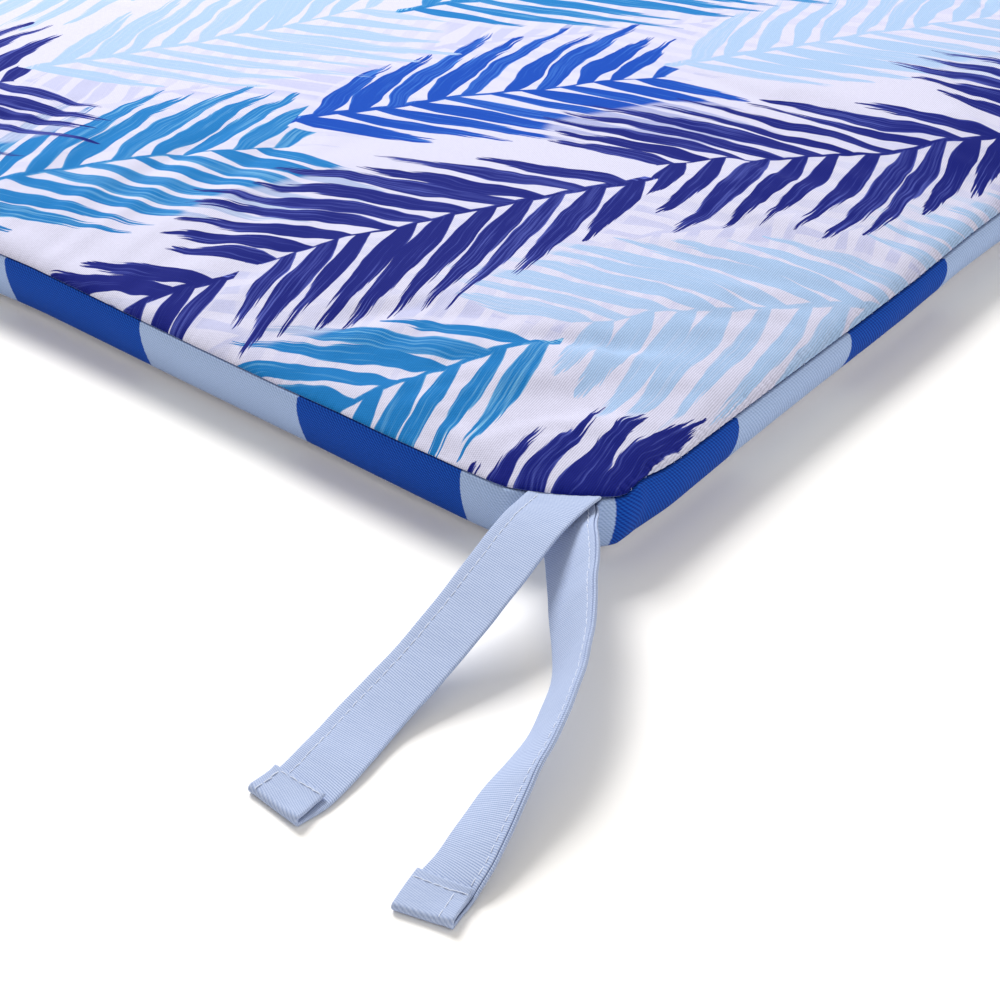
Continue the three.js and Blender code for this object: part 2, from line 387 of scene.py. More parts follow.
@dataclass(frozen=True)
class BandSection:
    """How the boxing band bows: out of the upper seam, then down and in to the lower one."""

    upper: float = 22.0
    lower: float = 2.9
    gap: float = 0.32
    inset: Facing = Facing(3.7, 2.4)
    lean: Facing = Facing(1.3, 3.2)
    drop: Facing = Facing(4.5, 3.5)
    belly: Facing = Facing(-0.9, 1.2)
    roll: Facing = Facing(6.0, 4.2)
    sag: Waver = Waver(
        (
            (12, 0.3), (50, 0.1), (67, 0.5), (85, 0.4), (110, 1), (145, 1.2),
            (217, 0.7), (280, 1.2), (390, 0.8), (434, 0),
        ),
        (
            (12, 0.3), (25, 0.7), (28, -1.1), (32, -0.6), (38, 0.7), (50, 1.4),
            (78, 1.9), (120, 2.4), (240, 2.6), (390, 1.2), (434, 0),
        ),
        ((0, 0), (60, 0.8), (217, 1.2)),
    )
    lift: Waver = Waver(
        ((20, 0), (45, 0.5), (100, 1), (330, 1), (414, 0)),
        ((10, 0), (18, 1.2), (32, 1.3), (50, 0.8), (78, 1.3), (141, 1.9), (217, 2.1), (390, 0.6), (434, 0)),
        ((0, 0), (78, 1), (217, 1.5)),
    )

    def handles(self, rim: Rim) -> list[Array]:
        """The four handles of the section at each sample, as distance outwards and height."""
        top = self.upper - self.sag.at(rim.point)
        bottom = self.lower + self.lift.at(rim.point)
        pairs = [
            (np.zeros_like(top), top - self.gap / 2),
            (self.lean.at(rim), top - self.drop.at(rim)),
            (self.belly.at(rim), bottom + self.roll.at(rim)),
            (-self.inset.at(rim), bottom),
        ]
        return [np.column_stack(pair) for pair in pairs]

    def at(self, rim: Rim, share: Array | float, depth: float = 0, stretch: float = 0) -> Array:
        """Points of the section.

        Args:
            rim: the samples.
            share: share of the way down from the upper seam to the lower one.
            depth: distance in, square to the band.
            stretch: distance on past that share, along the band.

        Returns:
            Distance outwards and height for each sample.
        """
        a, b, c, d = self.handles(rim)
        t = np.broadcast_to(np.asarray(share, float), (len(a),))[:, None]
        down = unit((b - a) * (1 - t) ** 2 + 2 * (c - b) * (1 - t) * t + (d - c) * t**2)
        inward = np.column_stack([down[:, 1], -down[:, 0]])
        return bezier([a, b, c, d], t) + inward * depth + down * stretch

    def ring(self, rim: Rim, share: Array | float, depth: float = 0, stretch: float = 0) -> Array:
        """The same points in space."""
        return rim.place(*self.at(rim, share, depth, stretch).T)


SECTION = BandSection()


@dataclass(frozen=True)
class Pucker:
    """A soft wave round the pad beside its seam."""

    waves: int
    depth: float
    shift: float


@dataclass(frozen=True)
class Crown:
    """Height of the top panel over the filling."""

    rise: float = 9.0
    dome: float = 2.0
    fall: float = 9.0
    steepness: float = 0.6
    reach: float = 0.25
    puckers: tuple[Pucker, ...] = (Pucker(9, 0.5, 0.35), Pucker(17, 0.45, 0.1), Pucker(23, 0.35, 0.6))
    dimple_inward: float = 14.0
    dimple_radius: float = 17.0
    dimple_depth: float = 1.8

    def height(self, lip: Array, ring: Array, share: Array, plan: Array) -> Array:
        """Height of the top panel above the floor.

        Args:
            lip: height of the seam in the same direction.
            ring: share of the way out from the middle to the seam.
            share: share of the way round the seam.
            plan: the points seen from above.

        Returns:
            One height for each point.
        """
        ring = np.clip(ring, 0, 1)
        flat = SECTION.upper + self.dome * (1 - ring**2)
        crown = self.rise * (1 - ring**self.fall) ** self.steepness
        reach = np.minimum(1, (1 - ring) / self.reach)
        waves = sum(p.depth * np.sin(2 * np.pi * (p.waves * share + p.shift)) for p in self.puckers)
        corner = HALF - self.dimple_inward
        away = np.hypot(np.abs(plan[:, 0]) - corner, plan[:, 1] - corner)
        level = flat + (lip - SECTION.upper) * ring**self.fall
        return level + crown + 4 * reach * (1 - reach) * (waves - self.dimple_depth * bell(away, self.dimple_radius))


def from_corner(rim: Rim) -> Array:
    """Distance of each sample from the back right corner, negative on the right side."""
    x, y = rim.point.T
    sideways = np.where(x > 0, y - HALF, 3 * HALF - y)
    lengthways = np.where(y > 0, HALF - x, -2 * HALF - (HALF - x))
    return np.where(np.abs(x) > np.abs(y), sideways, lengthways)


@dataclass(frozen=True)
class SeamStitching:
    """The needle's rhythm along the upper seam, which shows at the back and front and closes up at the sides."""

    pitch: float = 3.4
    scallop: float = 0.42
    shows: Facing = Facing(0.25, 1.0)
    corner_boost: float = 0.6
    corner_reach: float = 40.0
    groove: Facing = Facing(0.0, 0.1)
    set_back: Facing = Facing(0.4, 0.2)
    thread_length: float = 0.7
    thread: float = 0.15
    thread_share: float = 0.5
    thread_faces: float = 0.8
    clear_of_ties: float = 14
    thread_place: tuple[float, float] = (-0.22, 0.05)
    lean: float = 0.45
    usual: float = 0.75
    unevenness: float = 0.35
    unevenness_lengths: tuple[float, ...] = (7.3, 11.9, 19.0)
    sharpness: int = 6

    def strength(self, rim: Rim) -> Array:
        """How much the stitches show, by the way that the seam faces and how near the back corners it is."""
        away = np.hypot(np.abs(rim.point[:, 0]) - HALF, rim.point[:, 1] - HALF)
        return self.shows.at(rim) * (1 + self.corner_boost * bell(away, self.corner_reach))

    def count(self, rim: Rim) -> int:
        """Number of stitches all the way round."""
        return round(rim.length / self.pitch)

    def pinch(self, rim: Rim) -> Array:
        """One at each stitch that shows and none halfway between two."""
        wave = np.cos(np.pi * self.count(rim) * rim.run / rim.length)
        uneven = self.usual + self.unevenness * ripples(rim.run, self.unevenness_lengths, 9)
        return np.abs(wave) ** self.sharpness * self.strength(rim) * uneven


SEAM = SeamStitching()


@dataclass(frozen=True)
class Filling:
    """Pushes the top panel out from below, as the filling does, in a short cloth simulation.

    The panel's cloth is a little longer than its span, so it settles in soft wrinkles. Only these are kept: the
    crown itself stays as it is.
    """

    cells: int = 80
    spare: float = 0.022
    pressure: float = 4.0
    quality: int = 6
    mass: float = 0.12
    stretching: float = 20
    shearing: float = 8
    bending: float = 0.05
    frames: int = 20
    calm_cells: float = 5.0
    edge_cells: float = 2.5
    cap: float = 1.5

    def wrinkles(self, panel: Array) -> Array:
        """Heights of the wrinkles on a coarse grid of the panel.

        Args:
            panel: the panel's points, of shape (cells + 1, cells + 1, 3).

        Returns:
            Rise or fall at each point in millimetres, none at the edge.
        """
        skin = Skin()
        numbers = skin.add(panel)
        skin.sheet(numbers)
        cloth = skin.object("panel_simulation")
        pinned = cloth.vertex_groups.new(name="seam")
        pinned.add([int(n) for n in square_ring(numbers)], 1.0, "REPLACE")
        modifier = cloth.modifiers.new("cloth", "CLOTH")
        settings = modifier.settings
        settings.quality, settings.mass = self.quality, self.mass
        settings.tension_stiffness = settings.compression_stiffness = self.stretching
        settings.shear_stiffness, settings.bending_stiffness = self.shearing, self.bending
        settings.vertex_group_mass = pinned.name
        settings.shrink_min = -self.spare
        settings.use_pressure, settings.uniform_pressure_force = True, self.pressure
        settings.effector_weights.gravity = 0
        modifier.collision_settings.use_collision = False
        modifier.point_cache.frame_start, modifier.point_cache.frame_end = 1, self.frames
        scene = bpy.context.scene
        for frame_number in range(1, self.frames + 1):
            scene.frame_set(frame_number)
        graph = bpy.context.evaluated_depsgraph_get()
        settled = np.zeros(len(cloth.data.vertices) * 3)
        cloth.evaluated_get(graph).data.vertices.foreach_get("co", settled)
        scene.frame_set(1)
        bpy.data.objects.remove(cloth)
        rise = settled.reshape(panel.shape)[..., 2] / MM - panel[..., 2]
        from_side = np.minimum(np.arange(self.cells + 1), np.arange(self.cells, -1, -1))
        edge = np.minimum(*np.meshgrid(from_side, from_side))
        wrinkles = (rise - blur(rise, self.calm_cells)) * smoothstep(edge, 0, self.edge_cells)
        return self.cap * np.tanh(wrinkles / self.cap)


def finer(values: Array, cells: int) -> Array:
    """A square array read smoothly at more places.

    Args:
        values: the coarse values.
        cells: cells of the finer grid.

    Returns:
        An array of cells + 1 places each way.
    """
    coarse = len(values) - 1
    at = np.linspace(0, coarse, cells + 1)
    low = np.minimum(at.astype(int), coarse - 1)
    t = at - low
    weights = np.zeros((cells + 1, coarse + 1))
    terms = (
        -0.5 * t + t**2 - 0.5 * t**3,
        1 - 2.5 * t**2 + 1.5 * t**3,
        0.5 * t + 2 * t**2 - 1.5 * t**3,
        0.5 * (t**3 - t**2),
    )
    for offset, term in zip((-1, 0, 1, 2), terms):
        np.add.at(weights, (np.arange(cells + 1), np.clip(low + offset, 0, coarse)), term)
    return weights @ values @ weights.T


@dataclass(frozen=True)
class Fold:
    """A hollow of the top panel beside the ties: distance from the corner, depth, width and reach inwards."""

    place: float
    depth: float
    width: float
    reach: float


@dataclass
class CushionPad:
    """The filled cover: printed top panel with its crown, sides behind the band, and plain underside."""

    coarseness: int = 4
    top_cells: int = 240
    base_cells: int = 60
    seam_rings: tuple[float, ...] = (2.3, 1.6, 1.05, 0.6, 0.28, 0.08)
    grid_inset: float = 3.0
    squareness: float = 6.0
    behind: float = 1.6
    lip_folds: Table = ((0.1, 0.14), (0.5, 0.2), (1.0, 0.16))
    side_rows: tuple[float, ...] = (0.08, 0.25, 0.45, 0.65, 0.85, 1.0)
    belly_inset: float = 9.0
    belly_height: float = 0.9
    resting_inset: float = 15.0
    over_ties: float = 0.55
    ties_reach: float = 13.0
    tie_folds: tuple[Fold, ...] = (Fold(-50, 0.5, 4.5, 16), Fold(30, 0.9, 3.4, 12), Fold(39, -0.4, 4, 12))
    dip_in: float = 0.6
    dip_down: float = 0.3
    pinch_depth: float = 0.1
    pinch_reach: float = 0.9
    gather_lengths: tuple[float, ...] = (9.5, 14.2, 23.7, 31.0)
    gather_depth: float = 0.3
    gather_start: float = 5
    gather_reach: float = 11
    crown: Crown = field(default_factory=Crown)
    filling: Filling = field(default_factory=Filling)

    def build(self) -> Piece:
        """The pad as one closed mesh: slot 0 is the print, slot 1 the plain underside, slot 2 the turned-in edge and
        the sides behind the band, painted dark as the seam's shade.
        """
        fine = OUTLINE.rim()
        self.coarse = fine.every(self.coarseness)
        base = self.coarse.every(self.coarseness)
        skin = Skin()
        ring = square_ring(self.top_grid(skin))
        rings = [(self.seam_ring(fine, distance), 0) for distance in self.seam_rings]
        rings.append((self.lip(fine, 0), 0))
        # The lip's folds and the sides behind the band take slot 2, the painted seam shade.
        rings += [(self.lip(fine, -inward) - (0, 0, drop), 2) for inward, drop in self.lip_folds]
        rings += [(SECTION.ring(self.coarse, share, self.behind), 2) for share in self.side_rows]
        rings += [(SECTION.ring(self.coarse, 1, depth, SECTION.gap), 1) for depth in (self.behind, 0)]
        rings.append((self.drawn_in(base, self.belly_inset, self.belly_height), 1))
        rings.append((self.drawn_in(base, self.resting_inset, 0), 1))
        for points, mark in rings:
            above, ring = ring, skin.add(points)
            skin.join(above, ring, mark)
        self.under_grid(skin, ring, base)
        pad = skin.object("seat_pad")
        store(pad.data, "cloth", np.concatenate(skin.vertices))
        return pad

    def lip(self, rim: Rim, outward: float) -> Array:
        """The edge of the top panel where it goes into the seam, pinched down at each stitch."""
        dip = SEAM.scallop * SEAM.pinch(rim)
        lifted = self.over_ties * np.exp(-((from_ties(rim.point) / self.ties_reach) ** 4))
        height = SECTION.at(rim, 0)[:, 1] + SECTION.gap + lifted - dip * self.dip_down
        return rim.place(outward - SEAM.set_back.at(rim) - dip * self.dip_in, height)

    def surface(self, plan: Array, rim: Rim, lip: Array, inward: Array) -> Array:
        """Heights of the top panel at points in the rim's directions, with the gathers beside the seam."""
        ring = np.hypot(*plan.T) / np.hypot(*lip[:, :2].T)
        height = self.crown.height(lip[:, 2], ring, rim.run / rim.length, plan)
        gathers = self.gather_depth * ripples(rim.run, self.gather_lengths, 5)
        near = np.minimum(inward / self.gather_start, 1) * np.exp(-inward / self.gather_reach)
        pinch = self.pinch_depth * SEAM.pinch(rim) * np.exp(-inward / self.pinch_reach)
        away = from_corner(rim)
        for fold in self.tie_folds:
            fading = np.exp(-inward / fold.reach) * np.minimum(inward, 1)
            pinch = pinch + fold.depth * bell(away - fold.place, fold.width) * fading
        return height + gathers * near - pinch

    def seam_ring(self, rim: Rim, distance: float) -> Array:
        """A ring of the top panel at a distance in from its edge."""
        lip = self.lip(rim, 0)
        plan = lip[:, :2] - rim.out * distance
        return np.column_stack([plan, self.surface(plan, rim, lip, np.full(len(plan), distance))])

    def top_grid(self, skin: Skin) -> Array:
        """The grid over the crown: square in the middle, and its edge follows the seam."""
        grid = self.panel(self.top_cells)
        coarse = self.filling.wrinkles(self.panel(self.filling.cells))
        LOG.info("wrinkles from %.2f to %.2f mm", coarse.min(), coarse.max())
        grid[..., 2] += finer(coarse, self.top_cells)
        numbers = skin.add(grid)
        skin.sheet(numbers)
        return numbers

    def panel(self, cells: int) -> Array:
        """Points of the top panel on a grid, of shape (cells + 1, cells + 1, 3)."""
        rim = self.coarse
        edge = self.seam_ring(rim, self.grid_inset)
        plan, place = warp_square(cells, edge[:, :2], HALF - self.grid_inset, self.squareness)
        lip = sample_rim(self.lip(rim, 0), place)
        run = np.interp(place / 4 * len(rim.run), np.arange(len(rim.run) + 1), rim.unbroken_run())
        inward = (np.hypot(*lip[:, :2].T) - np.hypot(*plan.T)).clip(self.grid_inset)
        inner = Rim(lip[:, :2], unit(sample_rim(rim.out, place)), run, rim.length)
        heights = self.surface(plan, inner, lip, inward)
        return np.column_stack([plan, heights]).reshape(cells + 1, cells + 1, 3)

    def drawn_in(self, rim: Rim, inset: float, height: float) -> Array:
        """The outline drawn in evenly towards its middle, so that it can't cross itself at a corner."""
        plan = rim.point * (1 - inset / HALF)
        return np.column_stack([plan, np.full(len(plan), float(height))])

    def under_grid(self, skin: Skin, ring: Array, rim: Rim) -> None:
        """The flat underside within the resting ring."""
        edge = self.drawn_in(rim, self.resting_inset, 0)[:, :2]
        plan, _ = warp_square(self.base_cells, edge, HALF - self.resting_inset, self.squareness)
        grid = np.column_stack([plan * (1 - 2 / HALF), np.zeros(len(plan))])
        numbers = skin.add(grid.reshape(self.base_cells + 1, self.base_cells + 1, 3))
        skin.sheet(numbers, 1, turned=True)
        skin.join(ring, square_ring(numbers), 1)


def square_ring(grid: Array) -> Array:
    """Numbers round the edge of a square grid, anticlockwise from its front right corner."""
    return np.concatenate([grid[-1, :-1], grid[:0:-1, -1], grid[0, :0:-1], grid[:-1, 0]])


def rim_place(u: Array, v: Array) -> tuple[Array, Array]:
    """Where the direction of a grid point meets the square's edge.

    Args:
        u: sideways places, -1 to 1.
        v: lengthways places, -1 to 1.

    Returns:
        The place round the square in sides, 0 to 4 from the front right corner, and the share of the way out.
    """
    out = np.maximum(np.abs(u), np.abs(v))
    s, t = (w / np.maximum(out, 1e-9) for w in (u, v))
    sides = [s >= 1 - 1e-12, t >= 1 - 1e-12, s <= -1 + 1e-12]
    place = np.select(sides, [(t + 1) / 2, 1 + (1 - s) / 2, 2 + (1 - t) / 2], 3 + (s + 1) / 2)
    return place % 4, out


def sample_rim(values: Array, place: Array) -> Array:
    """Values round the rim, read between samples at places in sides."""
    at = place / 4 * len(values)
    low = np.floor(at).astype(int) % len(values)
    part = (at - np.floor(at))[:, None]
    return values[low] * (1 - part) + values[(low + 1) % len(values)] * part


def warp_square(cells: int, edge: Array, half: float, power: float) -> tuple[Array, Array]:
    """Carries a square grid to an outline: undistorted in the middle, and on the edge at its border.

    Args:
        cells: cells of the grid each way.
        edge: the outline's points.
        half: half side of the undistorted square.
        power: how late the outline takes over.

    Returns:
        The points in plan, and each one's place round the rim in sides.
    """
    steps = np.linspace(-1, 1, cells + 1)
    u, v = (w.ravel() for w in np.meshgrid(steps, steps, indexing="ij"))
    place, out = rim_place(u, v)
    late = (out**power)[:, None]
    return np.column_stack([u, v]) * half * (1 - late) + sample_rim(edge, place) * out[:, None] * late, place


@dataclass(frozen=True)
class Crease:
    """A hollow across the band: distance from the back right corner, depth and width."""

    place: float
    depth: float
    width: float


@dataclass
class BoxingBand:
    """The striped strip round the sides, sewn to the top panel above and to the underside below."""

    step: int = 2
    thickness: float = 1.0
    edge_round: float = 0.7
    tuck: float = 1.3
    tuck_drop: float = 0.12
    rows: int = 26
    inner_rows: int = 7
    inner_start: float = 0.06
    row_bias: float = 1.25
    tie_room: float = 0.16
    tie_reach: float = 8.0
    tie_fade: float = 2.5
    sway: float = 0.22
    sway_lengths: tuple[float, ...] = (37.0, 61.0, 23.0)
    pinch_depth: float = 0.22
    pinch_fade: float = 0.05
    crease_fade: float = 0.5
    creases: tuple[Crease, ...] = (
        Crease(-30.5, -0.5, 2.2),
        Crease(-26.5, 0.6, 1.8),
        Crease(27, 0.4, 2.0),
        Crease(31, -0.45, 2.2),
    )
    # Distances of the stripes' ends from the back right corner, with the number of stripes up to there
    stripes: Table = (
        (-868, -13.3), (-228, -3), (-168, -2), (-103, -1), (-42, 0),
        (19, 1), (78, 2), (142.5, 3), (205, 4), (868, 14.7),
    )

    def build(self) -> Piece:
        """The band as one closed mesh with its flat cloth stored on it."""
        rim = OUTLINE.rim().every(self.step)
        start = self.start(rim)
        shares = (np.linspace(0, 1, self.rows) ** self.row_bias)[:, None] * (1 - start) + start
        top = SECTION.at(rim, shares[0])
        sway = self.sway * ripples(rim.run, self.sway_lengths, 11)
        away = from_corner(rim)
        creases = sum(c.depth * bell(away - c.place, c.width) for c in self.creases)
        pinch = SEAM.pinch(rim) * self.pinch_depth
        rings = [rim.place(*(top - (self.tuck, self.tuck_drop)).T)]
        for k, share in enumerate(shares):
            down = k / (self.rows - 1)
            at = SECTION.at(rim, share)
            depth = self.rounding(at, top) + pinch * math.exp(-down / self.pinch_fade)
            depth = depth - sway * math.sin(math.pi * down) - creases * math.exp(-down / self.crease_fade)
            inward = SECTION.at(rim, share, 1) - at
            rings.append(rim.place(*(at + inward * depth[:, None]).T))
        shares = np.linspace(self.inner_start, 1, self.inner_rows)[:, None] * (1 - start) + start
        rings += [SECTION.ring(rim, share, self.thickness) for share in shares[::-1]]
        band = tube_object("striped_band", np.stack(rings), closed_run=True)
        along = np.interp(away, *np.array(self.stripes).T) * STRIPE
        down = travelled(np.stack(rings))
        around = np.broadcast_to(rim.run, down.shape)
        store(band.data, "cloth", np.stack([np.broadcast_to(along, down.shape), down, around], -1))
        return band

    def start(self, rim: Rim) -> Array:
        """Share of the section at which the band starts: further down below the roots of the ties."""
        room = self.tie_room * (1 - smoothstep(from_ties(rim.point), self.tie_reach, self.tie_reach + self.tie_fade))
        return np.maximum(room, SEAM.groove.at(rim) / (3 * SECTION.drop.at(rim)))

    def rounding(self, at: Array, top: Array) -> Array:
        """How far the turned upper edge falls back from the band's face."""
        below = np.linalg.norm(at - top, axis=1)
        left = np.clip(self.edge_round - below, 0, self.edge_round)
        return self.edge_round - np.sqrt(self.edge_round**2 - left**2)


# Ties


def tie_seam() -> tuple[Array, Array]:
    """The middle of the back right corner's rounding, where ties are caught, and the seam's direction there."""
    corner = OUTLINE.corners[1]
    tip = np.array([HALF, HALF])
    start = tip + (-corner.inset_before, -corner.before)
    end = tip + (-corner.after, -corner.inset_after)
    handles = [start, start + (0, OUTLINE.ease), end - (-OUTLINE.ease, 0), end]
    before, middle, after = bezier(handles, np.array([[0.499], [0.5], [0.501]]))
    return middle, unit(after - before)


def from_ties(point: Array) -> Array:
    """Distance in plan of points from the nearest of the two places where ties are sewn in."""
    (x, y), _ = tie_seam()
    return np.hypot(np.abs(point[:, 0]) - x, point[:, 1] - y)


@dataclass(frozen=True)
class Station:
    """A place on a tie's run: x and y from the corner of the square, height, and bank in degrees."""

    x: float
    y: float
    z: float
    bank: float


class OpenSide(Enum):
    """The long side along which a tie's two folded layers are stitched together."""

    RIGHT = -1
    LEFT = 1


UPPER_RUN = (
    Station(-10.6, -13.25, 21.7, 0),
    Station(-5.5, -12.6, 22.1, 4),
    Station(7.1, -11, 22.2, 4),
    Station(23.2, -9.1, 18.4, 3),
    Station(39.8, -8, 13, 4),
    Station(57.3, -7.6, 7, 4),
    Station(76.9, -7.1, 2.4, 3),
    Station(99.2, -3.6, 1.3, 1),
    Station(109.7, -2.7, 0.8, 0),
    Station(118.2, -3.1, 0.6, 0),
)
LOWER_RUN = (
    Station(-10.2, -13, 19.25, 0),
    Station(-7.6, -10.5, 19.35, 1),
    Station(-3.5, -6.4, 19.3, 12),
    Station(1.1, -1.9, 18.9, 38),
    Station(18.2, 11.2, 16.6, 50),
    Station(37, 25, 13.3, 60),
    Station(58.7, 34.4, 10.4, 54),
    Station(81.6, 39.2, 7, 37),
    Station(104.8, 45.1, 3.1, 14),
    Station(115, 46.4, 1, 0),
    Station(124.8, 48.8, 0.6, 0),
)


@dataclass(frozen=True)
class Spots:
    """Places on cloth, with two directions along it and the direction out of it."""

    place: Array
    heading: Array
    across: Array
    up: Array

    def each(self, change: Callable[[Array], Array]) -> list[Array]:
        """The places and directions, each changed alike."""
        return [change(values) for values in (self.place, self.heading, self.across, self.up)]


@dataclass(frozen=True)
class Frames:
    """Spots along the middle of a tie, across to its left and up out of its face, with the distance of each."""

    mark: Array
    spots: Spots

    def joined(self, *others: "Frames") -> "Frames":
        """This run and others in one."""
        runs = [frames.spots.each(np.asarray) for frames in (self, *others)]
        marks = np.concatenate([frames.mark for frames in (self, *others)])
        return Frames(marks, Spots(*[np.concatenate(parts) for parts in zip(*runs)]))


@dataclass
class Tie:
    """A narrow strip folded lengthwise, edge-stitched, with its free end folded up into a hem."""

    name: str
    node: str
    mirror: int
    turn: float
    run: tuple[Station, ...] = ()
    open_side: OpenSide = OpenSide.RIGHT
    stitch_inset: float = 4.0
    cross_stitches: tuple[float, float, int] = (-7.0, 7.0, 6)
    hem_length: float = 11.4
    hem_slack: float = 0.12
    hem_loop: float = 0.8
    hem_skew: float = 0.0
    fold_pull: float = 0.0
    flap_pull: float = 0.0
    taper: float = 0.0
    root_pinch: float = 0.0
    root_pinch_place: tuple[float, float] = (13, 8)
    width: float = 18.5
    hem_width: float = 19.1
    thickness: float = 1.1
    root_ease: float = 24.0
    bank_ease: float = 3.0
    spacing: float = 0.5
    bend_steps: int = 10
    relaxed: float = 0.25
    gape_kept: float = 0.15
    layer_step: float = 0.12
    stitch_pitch: float = 3.0
    hem_stitch_inset: float = 0.8
    flap_inset: float = 2.3
    flap_start: float = 2.6
    groove: tuple[float, float] = (-0.07, 0.6)
    holes: tuple[float, float] = (-0.12, 0.4)
    turned_edge: float = 0.12
    wave_height: float = 0.1
    wave_lengths: tuple[tuple[float, ...], tuple[float, ...]] = ((21.0, 34.0, 13.0), (26.0, 17.0, 41.0))
    floor: float = 0.02
    seed: int = 1

    def line(self) -> Frames:
        """The flat run from root to fold, sampled closely, with the root slanted along the seam."""
        root = np.array([self.run[0].x, self.run[0].y])
        swing = math.radians(self.turn)
        spin = np.array([[math.cos(swing), -math.sin(swing)], [math.sin(swing), math.cos(swing)]])
        centres = [[*(spin @ (np.array([s.x, s.y]) - root) + root + HALF), s.z] for s in self.run]
        points, knots = centripetal(np.array(centres), 60)
        run = travelled(points)
        mark = np.linspace(0, run[-1] - self.thickness, round(run[-1] / self.spacing))
        centre = columns(mark, run, points)
        heading = unit(np.gradient(centre, axis=0))
        bank = np.interp(np.interp(mark, run, knots), np.arange(len(self.run)), [s.bank for s in self.run])
        bank = soften(np.radians(bank), self.bank_ease / self.spacing)[:, None]
        level = unit(np.column_stack([-heading[:, 1], heading[:, 0], np.zeros(len(mark))]))
        across = level * np.cos(bank) + np.cross(heading, level) * np.sin(bank)
        up = unit(np.cross(heading, across))
        slant = np.append(tie_seam()[1], 0)
        forward = heading * (1, 1, 0)
        shear = (forward @ slant) / (across @ slant) * (1 - smoothstep(mark, 0, self.root_ease))
        shear = shear + self.hem_skew * smoothstep(mark, mark[-1] - 26, mark[-1] - 10)
        return Frames(mark, Spots(centre, heading, across + forward * shear[:, None], up))

    def fold(self, flat: Frames) -> Frames:
        """The run with its end folded up and back over itself."""
        lift = self.thickness + self.hem_slack
        turn = np.linspace(0, np.pi, self.bend_steps + 2)[1:-1, None]
        sine, cosine = np.sin(turn), np.cos(turn)
        end = flat.mark[-1]
        centre, heading, across, up = flat.spots.each(lambda values: values[-1])
        level = unit(heading * (1, 1, 0))
        bend = Spots(
            centre + up * lift / 2 + (sine * level - cosine * up) * lift / 2,
            cosine * level + sine * up,
            np.repeat(across[None], len(turn), 0),
            cosine * up - sine * level,
        )
        back = flat.mark > end - self.hem_length
        away = (end - flat.mark[back])[::-1]
        relaxed = lift + self.relaxed * smoothstep(away, self.hem_length * 0.75, self.hem_length)
        centre, heading, across, up = flat.spots.each(lambda values: values[back][::-1])
        flap = Spots(centre + up * relaxed[:, None], -heading, across, -up)
        bend_marks = end + turn[:, 0] * lift / 2
        return flat.joined(Frames(bend_marks, bend), Frames(end + math.pi * lift / 2 + away, flap))

    def profile(self) -> Array:
        """The strip's section: a round folded edge, two faces, and an open edge where one layer may stand out."""
        half, thick = self.width / 2, self.thickness / 2
        round_edge = [(-half + thick * (1 - math.sin(a)), thick * math.cos(a)) for a in np.linspace(np.pi, 0, 9)]
        ledge = half - self.layer_step
        face = [(y, thick) for y in np.linspace(-half + thick, ledge - 0.3, 25)[1:]]
        upper_fold = [(ledge - 0.08, thick * 0.86), (ledge, thick * 0.5), (ledge - 0.1, 0.02)]
        lower_fold, outer = [(ledge - 0.1, -0.08)], [(half, -thick * 0.2), (half - 0.2, -thick * 0.88)]
        if self.layer_step > 0.6:
            lower_fold = [(ledge + 0.12, -0.08), (ledge + 0.3, thick * 0.62), (half - 0.3, thick * 0.66)]
            outer = [(half - 0.06, thick * 0.35), *outer]
        lower = [(y, -thick) for y in np.linspace(half - 0.6, -half + thick, 9)[:-1]]
        return np.array(round_edge + face + upper_fold + lower_fold + outer + lower)

    def build(self) -> Piece:
        """The tie as one closed mesh with its flat cloth stored on it."""
        flat = self.line()
        self.flat_length = float(flat.mark[-1])
        self.frames = self.fold(flat)
        profile = self.profile() * (self.open_side.value, 1)
        side, rise = profile[:: self.open_side.value].T
        mark, side = np.meshgrid(self.frames.mark, side, indexing="ij")
        relief = self.relief(mark, side) * np.sign(rise) * (np.abs(rise) > 0.3)
        out = rise + relief + self.wave(mark, side)
        centre, _, across, up = self.frames.spots.each(lambda values: values[:, None])
        points = centre + (across * self.sideways(mark, side)[..., None] + up * out[..., None])
        points[..., 2] = np.maximum(points[..., 2] + self.gape(mark, side), self.floor)
        points[..., 0] *= self.mirror
        tie = tube_object(self.name, points)
        in_hem = smoothstep(mark, self.flat_length - self.hem_length, self.flat_length)
        store(tie.data, "cloth", np.stack([mark, side + (rise < 0) * LOWER_FACE, in_hem], -1))
        return tie

    def sideways(self, mark: Array, side: Array) -> Array:
        """Where a place across the strip ends up: drawn in at the root, narrower or wider towards the hem."""
        end = self.flat_length
        in_hem = smoothstep(mark, end - self.hem_length, end)
        width = 1 + (self.hem_width / self.width - 1) * in_hem - self.taper * smoothstep(mark, end - 55, end - 14)
        left = smoothstep(side, 0, self.width / 2)
        pull = self.fold_pull * in_hem + self.flap_pull * smoothstep(mark, end + 2, end + self.hem_length)
        place, reach = self.root_pinch_place
        return side * width - left * (self.root_pinch * bell(mark - place, reach) + pull)

    def gape(self, mark: Array, side: Array) -> Array:
        """How far the fold of the hem stands open, more at its left end."""
        end = self.flat_length
        closing = (1 - self.gape_kept) * smoothstep(mark, end + 2, end + self.hem_length)
        return self.hem_loop * (smoothstep(mark, end, end + 2) * (1 - closing)) * smoothstep(side, 0, self.width / 2)

    def relief(self, mark: Array, side: Array) -> Array:
        """Height of the faces over the plain strip: the stitched groove, its needle holes and the turned edge."""
        line = self.open_side.value * (self.width / 2 - self.stitch_inset)
        away = (side - line) * self.open_side.value
        (deep, wide), (hole_deep, hole_wide) = self.groove, self.holes
        holes = hole_deep * np.sin(np.pi * mark / self.stitch_pitch) ** 8 * bell(away, hole_wide)
        return deep * bell(away, wide) + holes + self.turned_edge * smoothstep(away, 0.4, 1.4)

